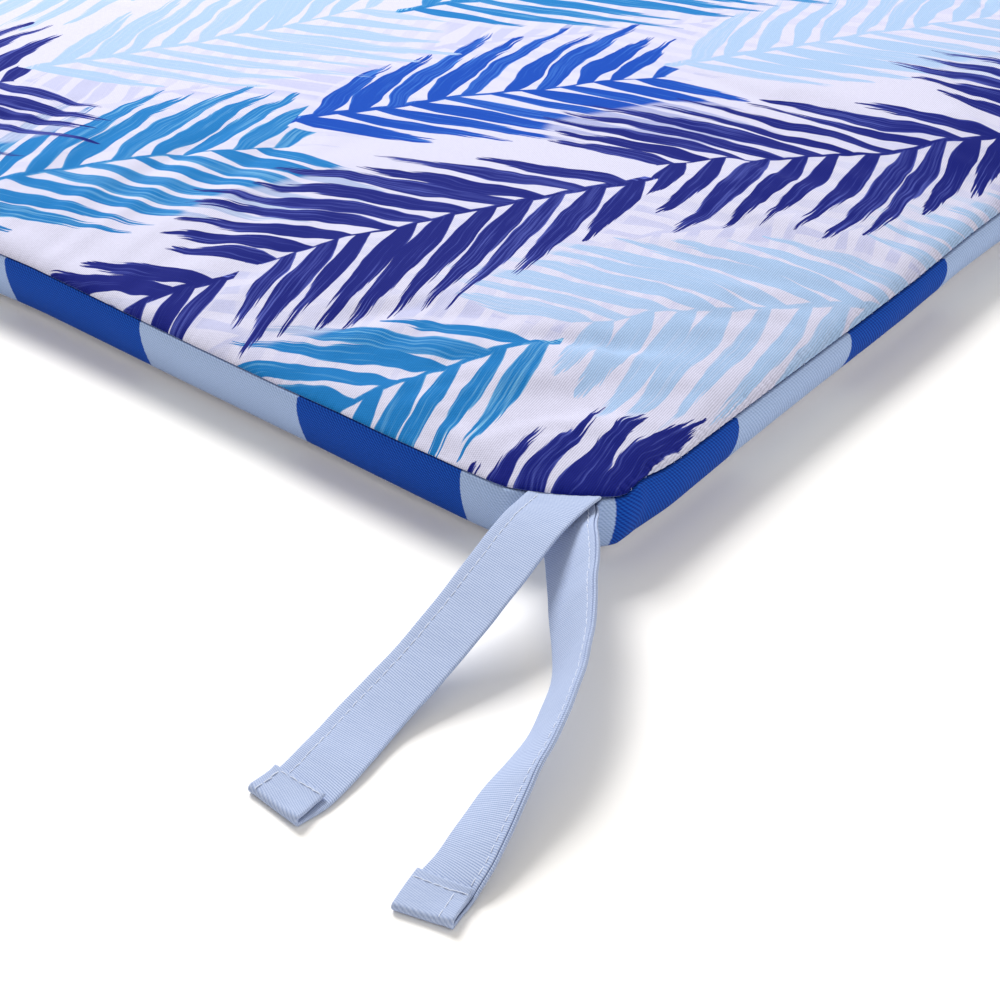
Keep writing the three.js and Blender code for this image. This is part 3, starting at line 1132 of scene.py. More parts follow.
    def wave(self, mark: Array, side: Array) -> Array:
        """Slight unevenness of a strip that was handled."""
        calm = smoothstep(mark, 4, 30) * (1 - smoothstep(mark, self.flat_length - 25, self.flat_length - 12))
        left, right = (ripples(mark, self.wave_lengths[k], self.seed + 50 * k) for k in (0, 1))
        share = side / self.width + 0.5
        return self.wave_height * calm * (left * share + right * (1 - share))

    def on_face(self, marks: Array, sides: Array, face: float) -> Spots:
        """Places on a face of the tie.

        Args:
            marks: distances along the strip, past the fold for the hem.
            sides: distances to the left of the strip's middle.
            face: 1 for the face that is up on the run, -1 for the other.

        Returns:
            The places with the strip's heading and the direction out of the face.
        """
        centre, heading, across, up = self.frames.spots.each(lambda values: columns(marks, self.frames.mark, values))
        height = self.thickness / 2 + self.relief(marks, sides) + self.wave(marks, sides) * face
        place = centre + across * self.sideways(marks, sides)[:, None] + up * (face * height)[:, None]
        place[:, 2] += self.gape(marks, sides)
        flip = np.array([self.mirror, 1, 1])
        return Spots(place * flip, unit(heading) * flip, unit(across) * flip, unit(up) * face * flip)

    def stitch_lines(self) -> list[Spots]:
        """The edge stitching along the run, and the cross stitching on the hem."""
        hem = self.frames.mark[-1] - self.hem_stitch_inset
        runs = []
        for first, last, face, inset in (
            (self.stitch_pitch, self.flat_length - self.hem_length, 1, self.stitch_inset),
            (self.flat_length + self.flap_start, hem, -1, self.flap_inset),
        ):
            marks = np.arange(first, last, self.stitch_pitch)
            side = self.open_side.value * (self.width / 2 - inset)
            runs.append(self.hand_sewn(self.on_face(marks, np.full(len(marks), side), face)))
        across = np.linspace(*self.cross_stitches)
        cross = self.on_face(np.full(len(across), hem), across, -1)
        return [*runs, self.hand_sewn(Spots(cross.place, cross.across, cross.heading, cross.up))]

    def hand_sewn(self, spots: Spots) -> Spots:
        """The same stitches, each a little out of line."""
        chance = np.random.default_rng(self.seed + len(spots.place))
        aside, swing = (chance.normal(0, spread, (len(spots.place), 1)) for spread in (0.06, 0.045))
        heading = unit(spots.heading + spots.across * swing)
        return Spots(spots.place + spots.across * aside, heading, spots.across, spots.up)


@dataclass
class UpperTie(Tie):
    """The tie that lies on top at its root, open along its right side."""

    run: tuple[Station, ...] = UPPER_RUN
    stitch_inset: float = 3.4
    cross_stitches: tuple[float, float, int] = (-5.5, 6.7, 5)
    hem_length: float = 9.6
    hem_slack: float = 0.3
    hem_skew: float = 0.08
    fold_pull: float = 1.1
    flap_pull: float = 1.2


@dataclass
class LowerTie(Tie):
    """The tie below it, open along its left side, where its lower layer stands out."""

    run: tuple[Station, ...] = LOWER_RUN
    open_side: OpenSide = OpenSide.LEFT
    stitch_inset: float = 3.0
    cross_stitches: tuple[float, float, int] = (-7.2, 7.2, 6)
    hem_length: float = 11.6
    hem_stitch_inset: float = 2.4
    fold_pull: float = 1.2
    flap_inset: float = 4.9
    layer_step: float = 0.95
    taper: float = 0.125
    root_pinch: float = 1.5


TIES = (
    UpperTie("strap_right_upper", "tie_right_upper", 1, 0, seed=3),
    LowerTie("strap_right_lower", "tie_right_lower", 1, 0, seed=8),
    UpperTie("strap_left_upper", "tie_left_upper", -1, -5, seed=21),
    LowerTie("strap_left_lower", "tie_left_lower", -1, 4, seed=34),
)


def columns(at: Array, places: Array, values: Array) -> Array:
    """Rows of values read between places, column by column."""
    return np.column_stack([np.interp(at, places, column) for column in values.T])


def centripetal(stations: Array, steps: int) -> tuple[Array, Array]:
    """A smooth run through stations.

    Args:
        stations: the places it passes, of shape (count, 3).
        steps: samples between two stations.

    Returns:
        The points, and the station number at each of them.
    """
    padded = np.vstack([2 * stations[0] - stations[1], stations, 2 * stations[-1] - stations[-2]])
    points, knots = [], []
    for k in range(len(stations) - 1):
        p0, p1, p2, p3 = padded[k : k + 4]
        d0, d1, d2 = (np.linalg.norm(b - a) ** 0.5 for a, b in ((p0, p1), (p1, p2), (p2, p3)))
        m1 = ((p1 - p0) / d0 - (p2 - p0) / (d0 + d1) + (p2 - p1) / d1) * d1
        m2 = ((p2 - p1) / d1 - (p3 - p1) / (d1 + d2) + (p3 - p2) / d2) * d1
        last = k == len(stations) - 2
        t = np.linspace(0, 1, steps + 1)[: None if last else -1][:, None]
        points.append(p1 + m1 * t + (3 * (p2 - p1) - 2 * m1 - m2) * t**2 + (2 * (p1 - p2) + m1 + m2) * t**3)
        knots.append(k + t[:, 0])
    return np.vstack(points), np.concatenate(knots)


# Stitches, laid by geometry nodes


def arithmetic(operation: str, swapped: bool = False) -> Callable[..., "Wire"]:
    """An operator of a wire that adds one Math node, with the other value first where swapped."""

    def apply(self: "Wire", *others: object) -> "Wire":
        """The node's result."""
        values = (self, *others)
        return self.desk.math(operation, *(values[::-1] if swapped else values))

    return apply


@dataclass
class Wire:
    """A value travelling through a node tree; arithmetic on it adds nodes."""

    desk: "Desk"
    socket: bpy.types.NodeSocket

    __add__ = arithmetic("ADD")
    __radd__ = arithmetic("ADD", swapped=True)
    __sub__ = arithmetic("SUBTRACT")
    __rsub__ = arithmetic("SUBTRACT", swapped=True)
    __mul__ = arithmetic("MULTIPLY")
    __truediv__ = arithmetic("DIVIDE")
    __pow__ = arithmetic("POWER")
    __abs__ = arithmetic("ABSOLUTE")


@dataclass
class Desk:
    """Builds one node tree with short calls."""

    tree: bpy.types.NodeTree

    def node(self, kind: str, **settings: object) -> bpy.types.Node:
        """A new node with its settings."""
        made = self.tree.nodes.new(kind)
        for name, value in settings.items():
            setattr(made, name, value)
        return made

    def feed(self, socket: bpy.types.NodeSocket, value: object) -> None:
        """Links a wire to a socket, or sets a plain value on it, and leaves it alone where the value is None."""
        if isinstance(value, Wire):
            self.tree.links.new(value.socket, socket)
        elif value is not None:
            socket.default_value = value

    def use(self, kind: str, given: dict | list | tuple = (), out: int | str = 0, **settings: object) -> Wire:
        """A new node and the wire out of it.

        Args:
            kind: the node's type.
            given: what goes into its sockets, by their names or in their order.
            out: the output that is read.
            settings: the node's own settings.

        Returns:
            The output's wire.
        """
        made = self.node(kind, **settings)
        for key, value in given.items() if isinstance(given, dict) else enumerate(given):
            self.feed(made.inputs[key], value)
        return Wire(self, made.outputs[out])

    def give(self, *values: Wire) -> None:
        """Sends wires out of a node group."""
        for socket, value in zip(self.node("NodeGroupOutput").inputs, values):
            self.feed(socket, value)

    def math(self, operation: str, *values: object, clamp: bool = False) -> Wire:
        """One Math node."""
        return self.use("ShaderNodeMath", values, operation=operation, use_clamp=clamp)

    def step(self, value: Wire, low: float, high: float) -> Wire:
        """Smooth rise from 0 at low to 1 at high."""
        return self.use("ShaderNodeMapRange", (value, low, high, 0.0, 1.0), interpolation_type="SMOOTHSTEP")

    def vector(self, x: object = 0.0, y: object = 0.0, z: object = 0.0) -> Wire:
        """Three values as one vector."""
        return self.use("ShaderNodeCombineXYZ", (x, y, z))

    def parts(self, vector: Wire) -> list[Wire]:
        """A vector's three values."""
        made = self.node("ShaderNodeSeparateXYZ")
        self.feed(made.inputs[0], vector)
        return [Wire(self, socket) for socket in made.outputs]

    def noise(self, vector: Wire, scale: float, detail: float = 2.0, flat: bool = False) -> Wire:
        """Soft noise from 0 to 1."""
        given = {"Vector": vector, "Scale": scale, "Detail": detail}
        return self.use("ShaderNodeTexNoise", given, noise_dimensions="2D" if flat else "3D")

    def dice(self, x: object, y: object, z: object = 0.0) -> list[Wire]:
        """Three random values from 0 to 1 for each cell."""
        given = {"Vector": self.vector(x, y, z)}
        return self.parts(self.use("ShaderNodeTexWhiteNoise", given, "Color", noise_dimensions="3D"))

    def blend(self, share: object, first: object, second: object, mode: str = "MIX") -> Wire:
        """Mixes two colours."""
        made = self.node("ShaderNodeMix", data_type="RGBA", blend_type=mode)
        colours = [s for s in made.inputs if s.type == "RGBA"]
        for socket, value in zip((made.inputs[0], *colours), (share, first, second)):
            self.feed(socket, value)
        return Wire(self, next(s for s in made.outputs if s.type == "RGBA"))

    def shaded(self, colour: Wire, shade: Wire) -> Wire:
        """A colour made darker or lighter."""
        return self.blend(1.0, colour, self.vector(shade, shade, shade), "MULTIPLY")

    def cloth(self) -> Wire:
        """The place on the flat cloth, in millimetres."""
        return self.use("ShaderNodeAttribute", out="Vector", attribute_name="cloth")


def new_group(name: str, kind: str, given: dict[str, str], made: dict[str, str]) -> tuple[Desk, list[Wire]]:
    """A new node group.

    Args:
        name: the group's name.
        kind: the type of its tree.
        given: what goes in, as names and kinds of sockets.
        made: what comes out, in the same way.

    Returns:
        A desk for its tree, and a wire for each thing that goes in.
    """
    tree = bpy.data.node_groups.new(name, kind)
    for sockets, way in ((given, "INPUT"), (made, "OUTPUT")):
        for socket, of in sockets.items():
            tree.interface.new_socket(socket, in_out=way, socket_type="NodeSocket" + of)
    desk = Desk(tree)
    return desk, [Wire(desk, socket) for socket in desk.node("NodeGroupInput").outputs[: len(given)]]


@dataclass(frozen=True)
class Stitching:
    """Rows of stitches on guide points that carry their directions."""

    name: str
    length: float = 2.4
    thread: float = 0.33
    rise: float = 0.1
    sink: float = 0.1
    unevenness: float = 0.13
    seed: int = 4
    sides: int = 6

    def tree(self) -> bpy.types.NodeTree:
        """One arched thread for each guide point, turned along it and out of the cloth."""
        sizes = dict.fromkeys(("Length", "Thread", "Rise", "Sink", "Unevenness"), "Float")
        given = {"Geometry": "Geometry", **sizes, "Seed": "Int", "Material": "Material"}
        desk, wires = new_group(self.name, "GeometryNodeTree", given, {"Geometry": "Geometry"})
        guide, length, thread, rise, sink, unevenness, seed, material = wires
        half = length * 0.5
        ends = {"Start": desk.vector(half * -1.0), "End": desk.vector(half)}
        line = desk.use("GeometryNodeCurvePrimitiveLine", ends)
        line = desk.use("GeometryNodeResampleCurve", {"Curve": line, "Count": self.sides})
        x, _, _ = desk.parts(desk.use("GeometryNodeInputPosition"))
        arch = rise - (x / half) * (x / half) * (rise + sink)
        bent = desk.use("GeometryNodeSetPosition", {"Geometry": line, "Offset": desk.vector(z=arch)})
        ring = desk.use("GeometryNodeCurvePrimitiveCircle", {"Resolution": self.sides, "Radius": thread * 0.5})
        tube = desk.use("GeometryNodeCurveToMesh", {"Curve": bent, "Profile Curve": ring, "Fill Caps": True})
        turn = None
        for axis, pivot, name in (("X", "AUTO", "along"), ("Z", "X", "up")):
            aim = desk.use("GeometryNodeInputNamedAttribute", {"Name": name}, "Attribute", data_type="FLOAT_VECTOR")
            given = {"Rotation": turn, "Vector": aim}
            turn = desk.use("FunctionNodeAlignRotationToVector", given, axis=axis, pivot_axis=pivot)
        low, high = (desk.vector(size, size, size) for size in (1.0 - unevenness, 1.0 + unevenness))
        given = {"Min": low, "Max": high, "Seed": seed}
        scale = desk.use("FunctionNodeRandomValue", given, data_type="FLOAT_VECTOR")
        given = {"Points": guide, "Instance": tube, "Rotation": turn, "Scale": scale}
        laid = desk.use("GeometryNodeRealizeInstances", [desk.use("GeometryNodeInstanceOnPoints", given)])
        desk.give(desk.use("GeometryNodeSetMaterial", {"Geometry": laid, "Material": material}))
        return desk.tree

    def sew(self, rows: list[Spots], thread: bpy.types.Material) -> Piece:
        """Lays the stitches and returns them as one plain mesh.

        Args:
            rows: the middle of each stitch, with its directions.
            thread: the thread's material.

        Returns:
            The stitches.
        """
        guide = bpy.data.meshes.new(self.name + "_guide")
        guide.from_pydata((np.vstack([row.place for row in rows]) * MM).tolist(), [], [])
        store(guide, "along", np.vstack([row.heading for row in rows]))
        store(guide, "up", np.vstack([row.up for row in rows]))
        sewing = add_object(self.name, guide)
        modifier = sewing.modifiers.new("stitches", "NODES")
        modifier.node_group = self.tree()
        sizes = {name.title(): getattr(self, name) * MM for name in ("length", "thread", "rise", "sink")}
        sizes |= {"Unevenness": self.unevenness, "Seed": self.seed, "Material": thread}
        for item in modifier.node_group.interface.items_tree:
            if item.name in sizes and item.in_out == "INPUT":
                modifier[item.identifier] = sizes[item.name]
        graph = bpy.context.evaluated_depsgraph_get()
        plain = bpy.data.meshes.new_from_object(sewing.evaluated_get(graph))
        sewing.modifiers.clear()
        sewing.data = plain
        plain.shade_smooth()
        bpy.data.meshes.remove(guide)
        return sewing


def seam_ladder() -> Spots:
    """The seam's threads where they cross the groove at the back and the front."""
    rim = OUTLINE.rim()
    count = SEAM.count(rim)
    asked = np.arange(count) * rim.length / count
    run = rim.unbroken_run()
    at = np.interp((asked - run[0]) % rim.length + run[0], run, np.arange(len(run)))
    place = at / (len(run) - 1) * 4
    point = sample_rim(rim.point, place)
    out = unit(sample_rim(rim.out, place))
    shown = (np.abs(out[:, 1]) > SEAM.thread_faces) & (from_ties(point) > SEAM.clear_of_ties)
    shown &= np.random.default_rng(6).uniform(size=count) < SEAM.thread_share
    spots = Rim(point[shown], out[shown], asked[shown], rim.length)
    outward, above = SEAM.thread_place
    place = spots.place(outward, SECTION.at(spots, 0)[:, 1] + above)
    level = np.zeros(len(place))
    along = np.column_stack([-spots.out[:, 1], spots.out[:, 0], level])
    return Spots(place, unit(along * SEAM.lean + (0, 0, 1)), along, np.column_stack([spots.out, level]))


# Finishes


def ink(red: int, green: int, blue: int) -> tuple[float, float, float, float]:
    """A colour as seen on a screen, 0 to 255, made linear."""
    shares = (red / 255, green / 255, blue / 255)
    return (*[v / 12.92 if v <= 0.04045 else ((v + 0.055) / 1.055) ** 2.4 for v in shares], 1.0)


def ribs(desk: Desk, along: Wire, pitch: float) -> Wire:
    """Rounded threads side by side, 0 between them and 1 on their backs."""
    return desk.math("SINE", along * (2 * math.pi / pitch)) * 0.5 + 0.5


@dataclass(frozen=True)
class Finish:
    """A cloth finish: how rough and how downy it is. Subclasses give the colour and the weave."""

    name: str
    roughness: float = 0.85
    sheen: float = 0.02
    sheen_roughness: float = 0.6
    specular: float = 0.08
    relief: float = 0.05

    def material(self) -> bpy.types.Material:
        """The finished material."""
        made = bpy.data.materials.new(self.name)
        made.use_nodes = True
        desk = Desk(made.node_tree)
        colour, height = self.weave(desk)
        given = {"Distance": self.relief * MM, "Strength": 1.0, "Height": height}
        look = {
            "Base Color": colour,
            "Roughness": self.roughness,
            "Sheen Weight": self.sheen,
            "Sheen Roughness": self.sheen_roughness,
            "Specular IOR Level": self.specular,
            "Normal": desk.use("ShaderNodeBump", given),
        }
        for name, value in look.items():
            desk.feed(made.node_tree.nodes["Principled BSDF"].inputs[name], value)
        return made

    def weave(self, desk: Desk) -> tuple[Wire, Wire]:
        """Colour and height of the cloth's face."""
        raise NotImplementedError


@dataclass(frozen=True)
class TieCloth(Finish):
    """Light blue canvas with fine crosswise ribs."""

    colour: tuple = ink(196, 207, 230)
    shade: tuple = ink(126, 144, 184)
    pitch: float = 0.645
    slant: float = -0.25

    def weave(self, desk: Desk) -> tuple[Wire, Wire]:
        """Crosswise ribs, slanted in the hem, with uneven threads and painted shade between the ribs."""
        cloth = desk.cloth()
        along, across, hem = desk.parts(cloth)
        lean = along + across * self.slant + across * hem * 0.6
        rib = ribs(desk, lean, self.pitch) * (1.0 - hem * 0.45) + hem * 0.22
        uneven = desk.noise(desk.vector(along * 1.3, across * 0.16), 1.0, 2.0, flat=True)
        grain = desk.noise(cloth, 2.2, 2.0)
        warp = ribs(desk, across - along * 0.3, self.pitch * 1.15)
        light = rib * 0.7 + warp * 0.1 + uneven * 0.2 + grain * 0.3 - 0.16
        # The ribs run from the shade colour in their grooves to the full colour on their backs: painted shade between
        # the ribs, on top of the bump.
        return desk.blend(light, self.shade, self.colour), rib * 0.6 + warp * 0.3 + grain * 0.5


@dataclass(frozen=True)
class Thread(Finish):
    """White sewing thread with a slight twist."""

    colour: tuple = ink(222, 228, 240)
    shade: tuple = ink(192, 202, 226)

    def weave(self, desk: Desk) -> tuple[Wire, Wire]:
        """Plain thread with soft variation."""
        grain = desk.noise(desk.use("ShaderNodeTexCoord", out="Object"), 2500.0, 1.0)
        return desk.blend(grain, self.shade, self.colour), grain


@dataclass(frozen=True)
class PaintedSeamShade(Finish):
    """Cloth turned into the seam, which only shows as the dark of the groove: painted shade, a dark blue-grey in
    place of the cloth's own colour.
    """

    colour: tuple = ink(128, 144, 188)
    shade: tuple = ink(92, 108, 158)

    def weave(self, desk: Desk) -> tuple[Wire, Wire]:
        """Painted shade: dark blue-grey with soft variation."""
        grain = desk.noise(desk.cloth(), 0.8, 2.0)
        return desk.blend(grain, self.shade, self.colour), grain


@dataclass(frozen=True)
class StripedCanvas(Finish):
    """Twill in wide cobalt and light blue stripes."""

    cobalt: tuple = ink(22, 86, 186)
    cobalt_shade: tuple = ink(0, 36, 124)
    pale: tuple = ink(172, 192, 226)
    pale_shade: tuple = ink(140, 161, 200)
    pitch: float = 0.93
    edge: float = 0.25

    def weave(self, desk: Desk) -> tuple[Wire, Wire]:
        """Stripes along the strip, slanted ribs on both colours."""
        along, across, run = desk.parts(desk.cloth())
        wobble = desk.noise(desk.vector(across * 1.5, along * 0.02), 1.0, 1.0, flat=True) * 0.5
        place = (along + wobble) / (2 * STRIPE)
        fraction = place - desk.math("FLOOR", place)
        away = (abs(fraction - 0.25) - 0.25) * (2 * STRIPE)
        is_cobalt = desk.step(away, -self.edge, self.edge)
        rib = ribs(desk, run * 0.77 - across * 0.64, self.pitch) * 0.7 + ribs(desk, across, self.pitch) * 0.3
        grain = desk.noise(desk.vector(run, across), 2.0, 2.0, flat=True)
        # Each colour runs from its shade colour between the ribs to its full colour on their backs: partly the
        # threads' own colour, partly painted shade in the grooves.
        pale = desk.blend(rib, self.pale_shade, self.pale)
        cobalt = desk.blend(rib, self.cobalt_shade, self.cobalt)
        colour = desk.shaded(desk.blend(is_cobalt, pale, cobalt), grain * 0.26 + 0.86)
        return colour, rib * 0.7 + grain * 0.5


@dataclass(frozen=True)
class PlainCanvas(Finish):
    """Plain pale cloth of the underside."""

    colour: tuple = ink(222, 224, 236)
    shade: tuple = ink(200, 204, 222)
    pitch: float = 0.8

    def weave(self, desk: Desk) -> tuple[Wire, Wire]:
        """A plain weave, over and under in both directions."""
        x, y, _ = desk.parts(desk.cloth())
        cross = ribs(desk, x, self.pitch) * ribs(desk, y, self.pitch)
        grain = desk.noise(desk.cloth(), 0.6, 3.0)
        return desk.blend(cross * 0.5 + grain * 0.5, self.shade, self.colour), cross


def frond_group() -> bpy.types.NodeTree:
    """A brushed frond as a node group: a bent rib with pointed leaflets on both sides, in millimetres.

    Returns:
        The group, which gives the ink's cover, its tone from deep to light, and the ground kept clear round it.
    """
    names = ("Along", "Across", "Length", "Reach", "Pitch", "Slope", "Curl", "Bend", "Width", "Ragged", "Seed")
    made = dict.fromkeys(("Ink", "Tone", "Clearing"), "Float")
    desk, wires = new_group("frond", "ShaderNodeTree", dict.fromkeys(names, "Float"), made)
    along, across, length, reach, pitch, slope, curl, bend, width, ragged, seed = wires

    def most(first: object, second: object) -> Wire:
        """The larger of two values."""
        return desk.math("MAXIMUM", first, second)

    def outline(share: Wire, middle: float, half: float) -> Wire:
        """How wide the frond is at a share of its length, 1 near its middle and none at its ends."""
        return most(1.0 - abs((share - middle) / half) ** 2.3, 0.0) ** 0.5

    hand = desk.noise(desk.vector(along + seed * 37.0, across), 0.035, 2.0, flat=True) - 0.5
    line = across - (along * along - length * length * 0.3) * bend + hand * 7.0
    away, side = abs(line), desk.math("SIGN", line)
    # Each leaflet is a cell along the rib, counted where it leaves the rib
    foot = along - away * slope - away * away * curl + side * pitch * 0.24 + hand * 3.0
    cell = foot / pitch
    number = desk.math("FLOOR", cell)
    off = cell - number - 0.5
    one, two, three = desk.dice(number, side + seed, seed * 1.7)
    share = (number + 0.5) * pitch / length
    full = outline(share, 0.47, 0.55) * desk.math("GREATER_THAN", share, 0.0)
    out = away / (reach * full * (one * 0.28 + 0.82) + 0.001)
    swell = desk.math("MINIMUM", out * 1.7 + 0.42, 1.0)
    half = width * swell * most(1.0 - out, 0.0) ** 0.4 * (two * 0.5 + 0.72)
    # The brush leaves streaks and runs dry towards the tips
    streak = desk.noise(desk.vector(foot * 0.9, away * 0.05 + seed), 1.0, 3.0, flat=True)
    dry = most(out - 0.45, 0.0) * ragged * most(streak - 0.42, 0.0)
    edge = (half - abs(off - (three - 0.5) * 0.22)) * pitch - dry * 60.0 + (streak - 0.5) * 0.5
    leaflet = desk.step(edge, -0.12, 0.22) * desk.math("LESS_THAN", out, 1.0)
    within = desk.math("GREATER_THAN", along, -9.0) * desk.math("LESS_THAN", along, length)
    rib_edge = 1.7 - along / length * 1.4 - away
    rib = desk.step(rib_edge, -0.12, 0.22) * within
    rim = 1.0 - desk.step(most(edge * leaflet, rib_edge * rib), 0.1, 0.9)
    tone = rim * 0.35 + (streak - 0.5) * (out * 2.6 + 1.0) + (one - 0.55) * 0.4
    clearing = desk.step(reach * outline(foot / length, 0.47, 0.57) * 0.86 - away, -1.5, 1.5)
    desk.give(most(leaflet, rib), desk.math("ADD", tone, 0.0, clamp=True), clearing)
    return desk.tree


@dataclass(frozen=True)
class Ink:
    """A printing ink where it lies thick, and where the brush ran dry."""

    deep: tuple
    light: tuple


NAVY = Ink(ink(10, 22, 112), ink(86, 98, 182))
COBALT = Ink(ink(0, 66, 168), ink(70, 128, 208))
CERULEAN = Ink(ink(20, 112, 178), ink(118, 176, 212))
PALE = Ink(ink(156, 182, 216), ink(182, 192, 218))
LILAC = Ink(ink(160, 166, 208), ink(186, 188, 216))


@dataclass(frozen=True)
class FrondLayer:
    """Fronds of one size on a slanted lattice of cells, each cell with its own ink and a slight turn."""

    cell: tuple[float, float]
    shift: tuple[float, float]
    length: float
    reach: float
    inks: tuple[Ink, Ink, Ink]
    seed: float
    angle: float = -28
    pitch: float = 13.5
    slope: float = 0.95
    curl: float = 0.004
    bend: float = 0.0011
    width: float = 0.55
    ragged: float = 0.4
    turn: float = 0.12
    clears: float = 1.0
    strength: float = 1.0
    shares: tuple[float, float] = (0.35, 0.55)

    def print_on(self, desk: Desk, group: bpy.types.NodeTree, x: Wire, y: Wire, under: Wire, ground: Wire) -> Wire:
        """Lays this layer over what is printed already.

        Args:
            desk: the material's tree.
            group: the frond's node group.
            x: place sideways on the cloth.
            y: place lengthways on the cloth.
            under: the colour printed so far.
            ground: the bare cloth's colour.

        Returns:
            The new colour.
        """
        cosine, sine = math.cos(math.radians(self.angle)), math.sin(math.radians(self.angle))
        v = (y * cosine - x * sine) / self.cell[1] + self.shift[1]
        row = desk.math("FLOOR", v)
        local_y = (v - row - 0.5) * self.cell[1]
        sweep = abs(local_y) * self.slope + local_y * local_y * self.curl
        flip = desk.math("FLOORED_MODULO", row, 2.0) * 2.0 - 1.0
        u = ((x * cosine + y * sine) * flip - sweep) / self.cell[0] + self.shift[0]
        column = desk.math("FLOOR", u)
        first, second, third = desk.dice(row, column, self.seed)
        local_x = (u - column - 0.5) * self.cell[0] + sweep
        swing = (second - 0.5) * self.turn
        names = ("length", "reach", "pitch", "slope", "curl", "width", "ragged")
        given = {name.title(): getattr(self, name) for name in names}
        given["Along"] = local_x + local_y * swing + self.length / 2
        given["Across"] = local_y - local_x * swing
        given["Bend"] = (third - 0.5) * (2 * self.bend)
        given["Seed"] = first * 9.0 + self.seed
        frond = desk.node("ShaderNodeGroup", node_tree=group)
        for name, value in given.items():
            desk.feed(frond.inputs[name], value)
        cover, tone, clearing = (Wire(desk, socket) for socket in frond.outputs)
        is_second, is_third = (desk.math("GREATER_THAN", first, share) for share in self.shares)
        deep, light = (
            desk.blend(is_third, desk.blend(is_second, *colours[:2]), colours[2])
            for colours in ([each.deep for each in self.inks], [each.light for each in self.inks])
        )
        cleared = desk.blend(clearing * self.clears, under, ground)
        return desk.blend(cover * self.strength, cleared, desk.blend(tone, deep, light))


@dataclass(frozen=True)
class PrintedCanvas(Finish):
    """Cotton twill printed with fronds in blues on a lilac white ground."""

    ground: tuple = ink(199, 198, 219)
    pitch: float = 0.64
    layers: tuple[FrondLayer, ...] = (
        FrondLayer((142, 154), (0.35, 0.4), 150, 60, (LILAC, PALE, LILAC), 2.0, width=0.42, strength=0.5),
        FrondLayer((142, 158), (0.6, 0.15), 134, 52, (COBALT, CERULEAN, PALE), 7.0, clears=0.6),
        FrondLayer((142, 158), (0.1, 0.65), 134, 52, (NAVY, CERULEAN, PALE), 3.0, clears=0.6),
    )

    def weave(self, desk: Desk) -> tuple[Wire, Wire]:
        """The print on the twill."""
        x, y, _ = desk.parts(desk.cloth())
        twill = ribs(desk, y - x * 0.15, self.pitch) * 0.7 + ribs(desk, x + y * 0.5, self.pitch) * 0.3
        grain = desk.noise(desk.cloth(), 1.2, 2.0)
        colour = ground = desk.use("ShaderNodeRGB")
        ground.socket.default_value = self.ground
        group = frond_group()
        for layer in self.layers:
            colour = layer.print_on(desk, group, x, y, colour, ground)
        # The print is darkened between the twill's ribs and at random by the grain: partly the weave's own colour,
        # partly painted shade in the grooves.
        return desk.shaded(colour, twill * 0.4 + grain * 0.16 + 0.67), twill * 0.6 + grain * 0.5


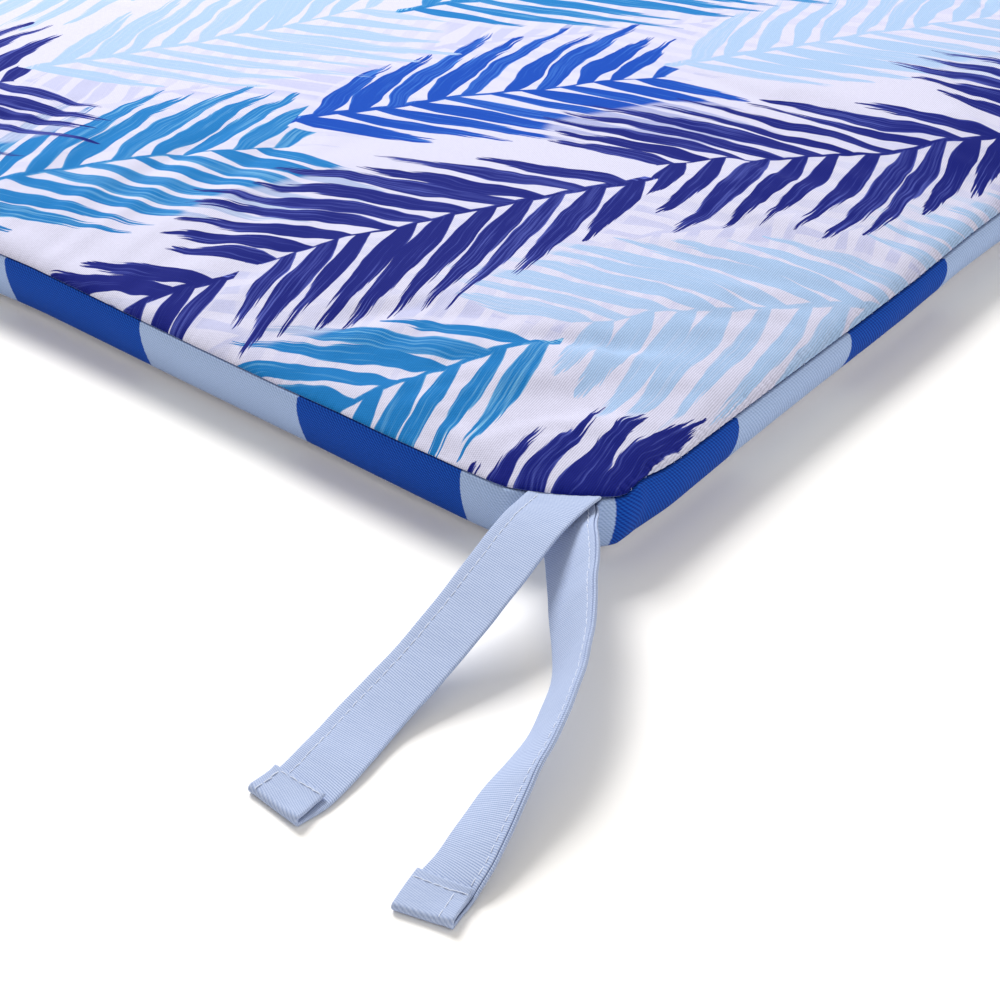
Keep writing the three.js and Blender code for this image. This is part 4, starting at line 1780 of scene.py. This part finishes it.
@dataclass(frozen=True)
class Studio:
    """Camera at the photograph's angle, plain pale floor and soft light."""

    azimuth: float = 126.77
    elevation: float = 33.51
    roll: float = 2.02
    distance: float = 719.0
    lens: float = 89.93
    target: tuple[float, float, float] = (189.72, 169.54, -3.0)
    light_size: float = 0.8
    key_place: tuple[float, float, float] = (-0.42, -1.0, 1.25)
    key_strength: float = 38.8
    back_place: tuple[float, float, float] = (0.35, 1.25, 0.35)
    back_strength: float = 3.0
    fill_colour: tuple[float, float, float, float] = (1, 0.982, 0.95, 1)
    fill_strength: float = 0.57
    floor_colour: tuple[float, float, float, float] = (0.95, 0.93, 0.905, 1)

    def shoot(self) -> None:
        """Sets camera, floor, lights and world."""
        a, e, r = (math.radians(v) for v in (self.azimuth, self.elevation, self.roll))
        back = Vector((math.sin(a) * math.cos(e), -math.cos(a) * math.cos(e), math.sin(e)))
        level = Vector((math.cos(a), math.sin(a), 0))
        over = back.cross(level)
        right = level * math.cos(r) + over * math.sin(r)
        up = over * math.cos(r) - level * math.sin(r)
        turn = Matrix((right, up, back)).transposed().to_4x4()
        target = Vector(self.target) * MM
        lens = bpy.data.cameras.new("camera")
        lens.lens, lens.sensor_width = self.lens, 36.0
        lens.clip_start, lens.clip_end = 0.01, 20.0
        scene = bpy.context.scene
        scene.camera = add_object("camera", lens)
        scene.camera.matrix_world = Matrix.Translation(target + back * self.distance * MM) @ turn
        self.floor()
        self.light("key", Vector(self.key_place), self.key_strength)
        self.light("back", Vector(self.back_place), self.back_strength)
        scene.view_settings.view_transform = "Standard"
        scene.world = bpy.data.worlds.new("studio")
        scene.world.use_nodes = True
        background = scene.world.node_tree.nodes["Background"].inputs
        background["Color"].default_value = self.fill_colour
        background["Strength"].default_value = self.fill_strength

    def floor(self) -> None:
        """A wide plain floor just under the cushion."""
        mesh = bpy.data.meshes.new("floor")
        wide, low = 4.0, -0.0001
        corners = [(-wide, -wide, low), (wide, -wide, low), (wide, wide, low), (-wide, wide, low)]
        mesh.from_pydata(corners, [], [(0, 1, 2, 3)])
        floor = add_object("floor", mesh)
        paint = bpy.data.materials.new("pale_floor")
        paint.use_nodes = True
        shader = paint.node_tree.nodes["Principled BSDF"]
        shader.inputs["Base Color"].default_value = self.floor_colour
        shader.inputs["Roughness"].default_value = 0.9
        mesh.materials.append(paint)

    def light(self, name: str, place: Vector, strength: float) -> None:
        """A soft square light aimed at the cushion."""
        lamp = bpy.data.lights.new(name, "AREA")
        lamp.shape, lamp.size, lamp.energy = "SQUARE", self.light_size, strength
        made = add_object(name, lamp)
        made.location = place
        made.rotation_mode = "QUATERNION"
        made.rotation_quaternion = place.to_track_quat("Z", "Y")


def main() -> None:
    """Builds every piece in order and logs the face counts of the pad, the band and the seam threads."""
    logging.basicConfig(level=logging.INFO, format="%(name)s: %(message)s")
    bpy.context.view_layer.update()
    Studio().shoot()

    pad = CushionPad().build()
    pad.data.materials.append(PrintedCanvas("printed_twill", relief=0.08).material())
    pad.data.materials.append(PlainCanvas("plain_underside").material())
    # Slot 2 is painted shade for the seam groove and the pad's sides behind the band.
    pad.data.materials.append(PaintedSeamShade("painted_seam_shade").material())
    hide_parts(CUSHION_NODE)
    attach(pad, BODY)
    LOG.info("%s: %d faces", pad.name, len(pad.data.polygons))

    band = BoxingBand().build()
    band.data.materials.append(StripedCanvas("striped_canvas_finish", relief=0.08).material())
    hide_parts(BAND_NODE)
    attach(band, BODY)
    LOG.info("%s: %d faces", band.name, len(band.data.polygons))

    thread = Thread("white_thread", relief=0.02).material()
    dull = Thread("seam_thread", relief=0.02, colour=ink(186, 196, 222), shade=ink(128, 142, 186)).material()
    ladder = Stitching("seam_threads", SEAM.thread_length, SEAM.thread, 0.05, 0.3).sew([seam_ladder()], dull)
    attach(ladder, BODY)
    LOG.info("%s: %d faces", ladder.name, len(ladder.data.polygons))

    cloth = TieCloth("tie_canvas").material()
    for tie in TIES:
        strap = tie.build()
        strap.data.materials.append(cloth)
        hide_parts(tie.node)
        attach(strap, BODY)
        sewing = Stitching(tie.name + "_stitches", seed=tie.seed).sew(tie.stitch_lines(), thread)
        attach(sewing, BODY)


if __name__ == "__main__":
    main()
